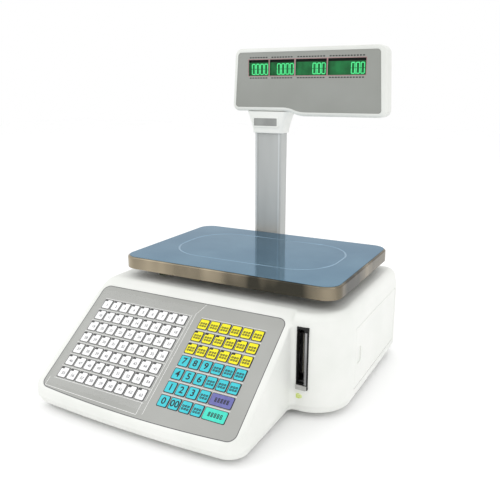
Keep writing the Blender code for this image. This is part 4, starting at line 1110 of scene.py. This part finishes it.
windows = ((-85.5, -47.5), (-45.5, -0.5), (2.0, 56.5), (58.5, 122.0))
window_low, window_high = 449 * mm, 475 * mm
panel_ink = clouded("printed_face_panel", "#939590", 0.5, "#8f918b", "#979994", 110 * mm,
                    (0.45, 0.55), (0.7 * mm, 0.02 * mm), IOR=1.5)
for side, face, seam, shell_node, panel_node in (
    (1, head_front, head_seam - 0.15 * mm, "head_front_shell", "head_face_panel"),
    (-1, head_rear, head_seam + 0.15 * mm, "head_rear_shell", "head_rear_panel"),
):
    near, far = sorted((face, seam))
    shell = head_slab("display_shell", near, far)
    round_off(shell, sharp_at("Y", face, 60), 5 * mm, 7)
    round_off(shell, sharp_at("Y", seam, 60), 0.5 * mm, 2)
    near, far = sorted((face - side * 5 * mm, face + side * 1.6 * mm))
    work(shell, head_slab("seat", near, far, 6.7 * mm))
    near, far = sorted((face + side * 4 * mm, seam + side * 5 * mm))
    work(shell, head_slab("hollow", near, far, 9 * mm))
    near, far = sorted((face - side * 1 * mm, face + side * 6 * mm))
    work(shell, block("opening", (-86.5 * mm, near, 448 * mm), (123 * mm, far, 476 * mm)))
    work(shell, block("neck_way", (pole_x - 30 * mm, pole_y - 15 * mm, 0.38),
                      (pole_x + 30 * mm, pole_y + 15 * mm, 0.394)))
    shell.name = shell_node + "_moulding"
    dress(shell, head_abs_painted_shade, shell_node)
    near, far = sorted((face + side * 0.3 * mm, face + side * 1.3 * mm))
    panel = head_slab("panel", near, far, 7 * mm)
    for left, right in windows:
        work(panel, block("window", (left * mm, near - 0.01, window_low),
                          (right * mm, far + 0.01, window_high)))
    panel.name = panel_node + "_print"
    dress(panel, panel_ink, panel_node)

# ---- Read-outs ----
# Backlit liquid crystal panels behind the head's openings. Their figures stand out brighter on green,
# under a dark band of painted shadow from each opening's top edge; a fine red line is printed round each
# opening.
lit_green = clouded("green_read_out", "#0f6034", 0.3, "#0f5229", "#1c7840", 22 * mm,
                    (0.25, 0.35), Specular_IOR_Level=0.25)
# The near-black band is painted shadow that the top edge of each opening casts on the read-out.
recess_shadow_finish = clouded("painted_recess_shadow", "#08100c", 0.5, "#060c09", "#0b1611", 12 * mm,
                    (0.45, 0.55), Specular_IOR_Level=0.15)
lit_figure, tree, shader = new_finish(
    "bright_read_out_figure", "#4fe78e", 0.4, Emission_Color=linear("#35e077"), Emission_Strength=0.35)
gloss(tree, shader, shade(tree, shader, "#46e187", "#5bee99", 6 * mm), 0.35, 0.45)
red_ink = clouded("red_screen_ink", "#b4606a", 0.45, "#ab5761", "#bd6a74", 6 * mm, (0.4, 0.5))

figure_wide, figure_tall, figure_pitch, figure_low = 5.6 * mm, 16.6 * mm, 7.9 * mm, 451.4 * mm
bar, ink = 1.3 * mm, 0.06 * mm


def zero():
    """The six outer bars of a seven-bar figure, round the origin."""
    pieces = []
    side, rise, gap = figure_wide / 2, figure_tall / 4, 0.2 * mm
    for x, y in ((0, 2), (0, -2), (-1, 1), (1, 1), (-1, -1), (1, -1)):
        wide, tall = (bar / 2, rise - gap) if x else (side - gap, bar / 2)
        stroke = block("stroke", (x * side - wide, y * rise - tall, 0),
                       (x * side + wide, y * rise + tall, ink))
        round_off(stroke, along("Z"), 0.5 * mm, 1)
        pieces.append(stroke)
    return gather("zero", pieces)


def read_out(name, spans, y, customer):
    """The figures of the read-outs on one face: how many zeros each holds, and their right end."""
    zeros, points = [], []
    for count, right_end in spans:
        last = right_end - 3.5 * mm
        zeros += [(last - i * figure_pitch, figure_low + figure_tall / 2) for i in range(count)]
        points.append((last - (count - 1.5) * figure_pitch, figure_low - 0.2 * mm))
    point = plate("point", (-0.6 * mm, -0.6 * mm, 0), (0.6 * mm, 0.6 * mm, ink), 0.3 * mm, 2)
    piece = gather(name, [spread("zeros", zero(), zeros), spread("points", point, points)])
    return dress(stand_up(piece, y, customer), lit_figure)


glass_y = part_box("weight_lcd")[0].y
for node, (left, right) in zip(("tare_lcd", "weight_lcd", "unit_price_lcd", "total_price_lcd"), windows):
    low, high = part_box(node)
    glass = block(node + "_glass", low, high)
    round_off(glass, sharp_at("Y", low.y), 0.3 * mm, 2)
    dress(glass, lit_green, node)
    band = plate("band", ((left - 0.4) * mm, 470.6 * mm, 0),
                 ((right + 0.4) * mm, 475.6 * mm, 0.05 * mm), 0.3 * mm, 2)
    band.name = node + "_band"
    dress(stand_up(band, glass_y), recess_shadow_finish)
read_out("operator_figures", ((4, -50 * mm), (4, -2.5 * mm), (3, 53.7 * mm), (3, 119.3 * mm)), glass_y, False)
low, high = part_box("customer_lcd")
glass = block("customer_glass", low, high)
round_off(glass, sharp_at("Y", high.y), 0.3 * mm, 2)
dress(glass, lit_green, "customer_lcd")
read_out("customer_figures", ((3, -61 * mm), (3, -5.5 * mm), (4, 42.5 * mm), (4, 82.5 * mm)), high.y, True)

panel_sink = 0.3 * mm
for tag, y, customer in (
    ("operator", head_front + panel_sink, False), ("customer", head_rear - panel_sink, True),
):
    rims, marks = [], []
    for left, right in windows:
        if customer:
            left, right = -right, -left
        rim = plate("rim", ((left - 0.9) * mm, window_low - 0.9 * mm, 0),
                    ((right + 0.9) * mm, window_high + 0.9 * mm, 0.04 * mm), 0.8 * mm, 3)
        work(rim, plate("inside", ((left - 0.4) * mm, window_low - 0.4 * mm, -1),
                        ((right + 0.4) * mm, window_high + 0.4 * mm, 1), 0.4 * mm, 3))
        rims.append(rim)
        centre, count = (left + right) / 2 * mm, int((right - left) / 5.2)
        marks += [(centre + (step - (count - 1) / 2) * 5 * mm, row)
                  for row in (478.6 * mm, 445.4 * mm) for step in range(count)]
    dress(stand_up(gather(tag + "_window_rims", rims), y, customer), red_ink)
    dash = plate("dash", (-1.7 * mm, -0.9 * mm, 0), at(1.7, 0.9, 0.04), 0.4 * mm, 2)
    dress(stand_up(spread(tag + "_face_marks", dash, marks), y, customer), black_ink)
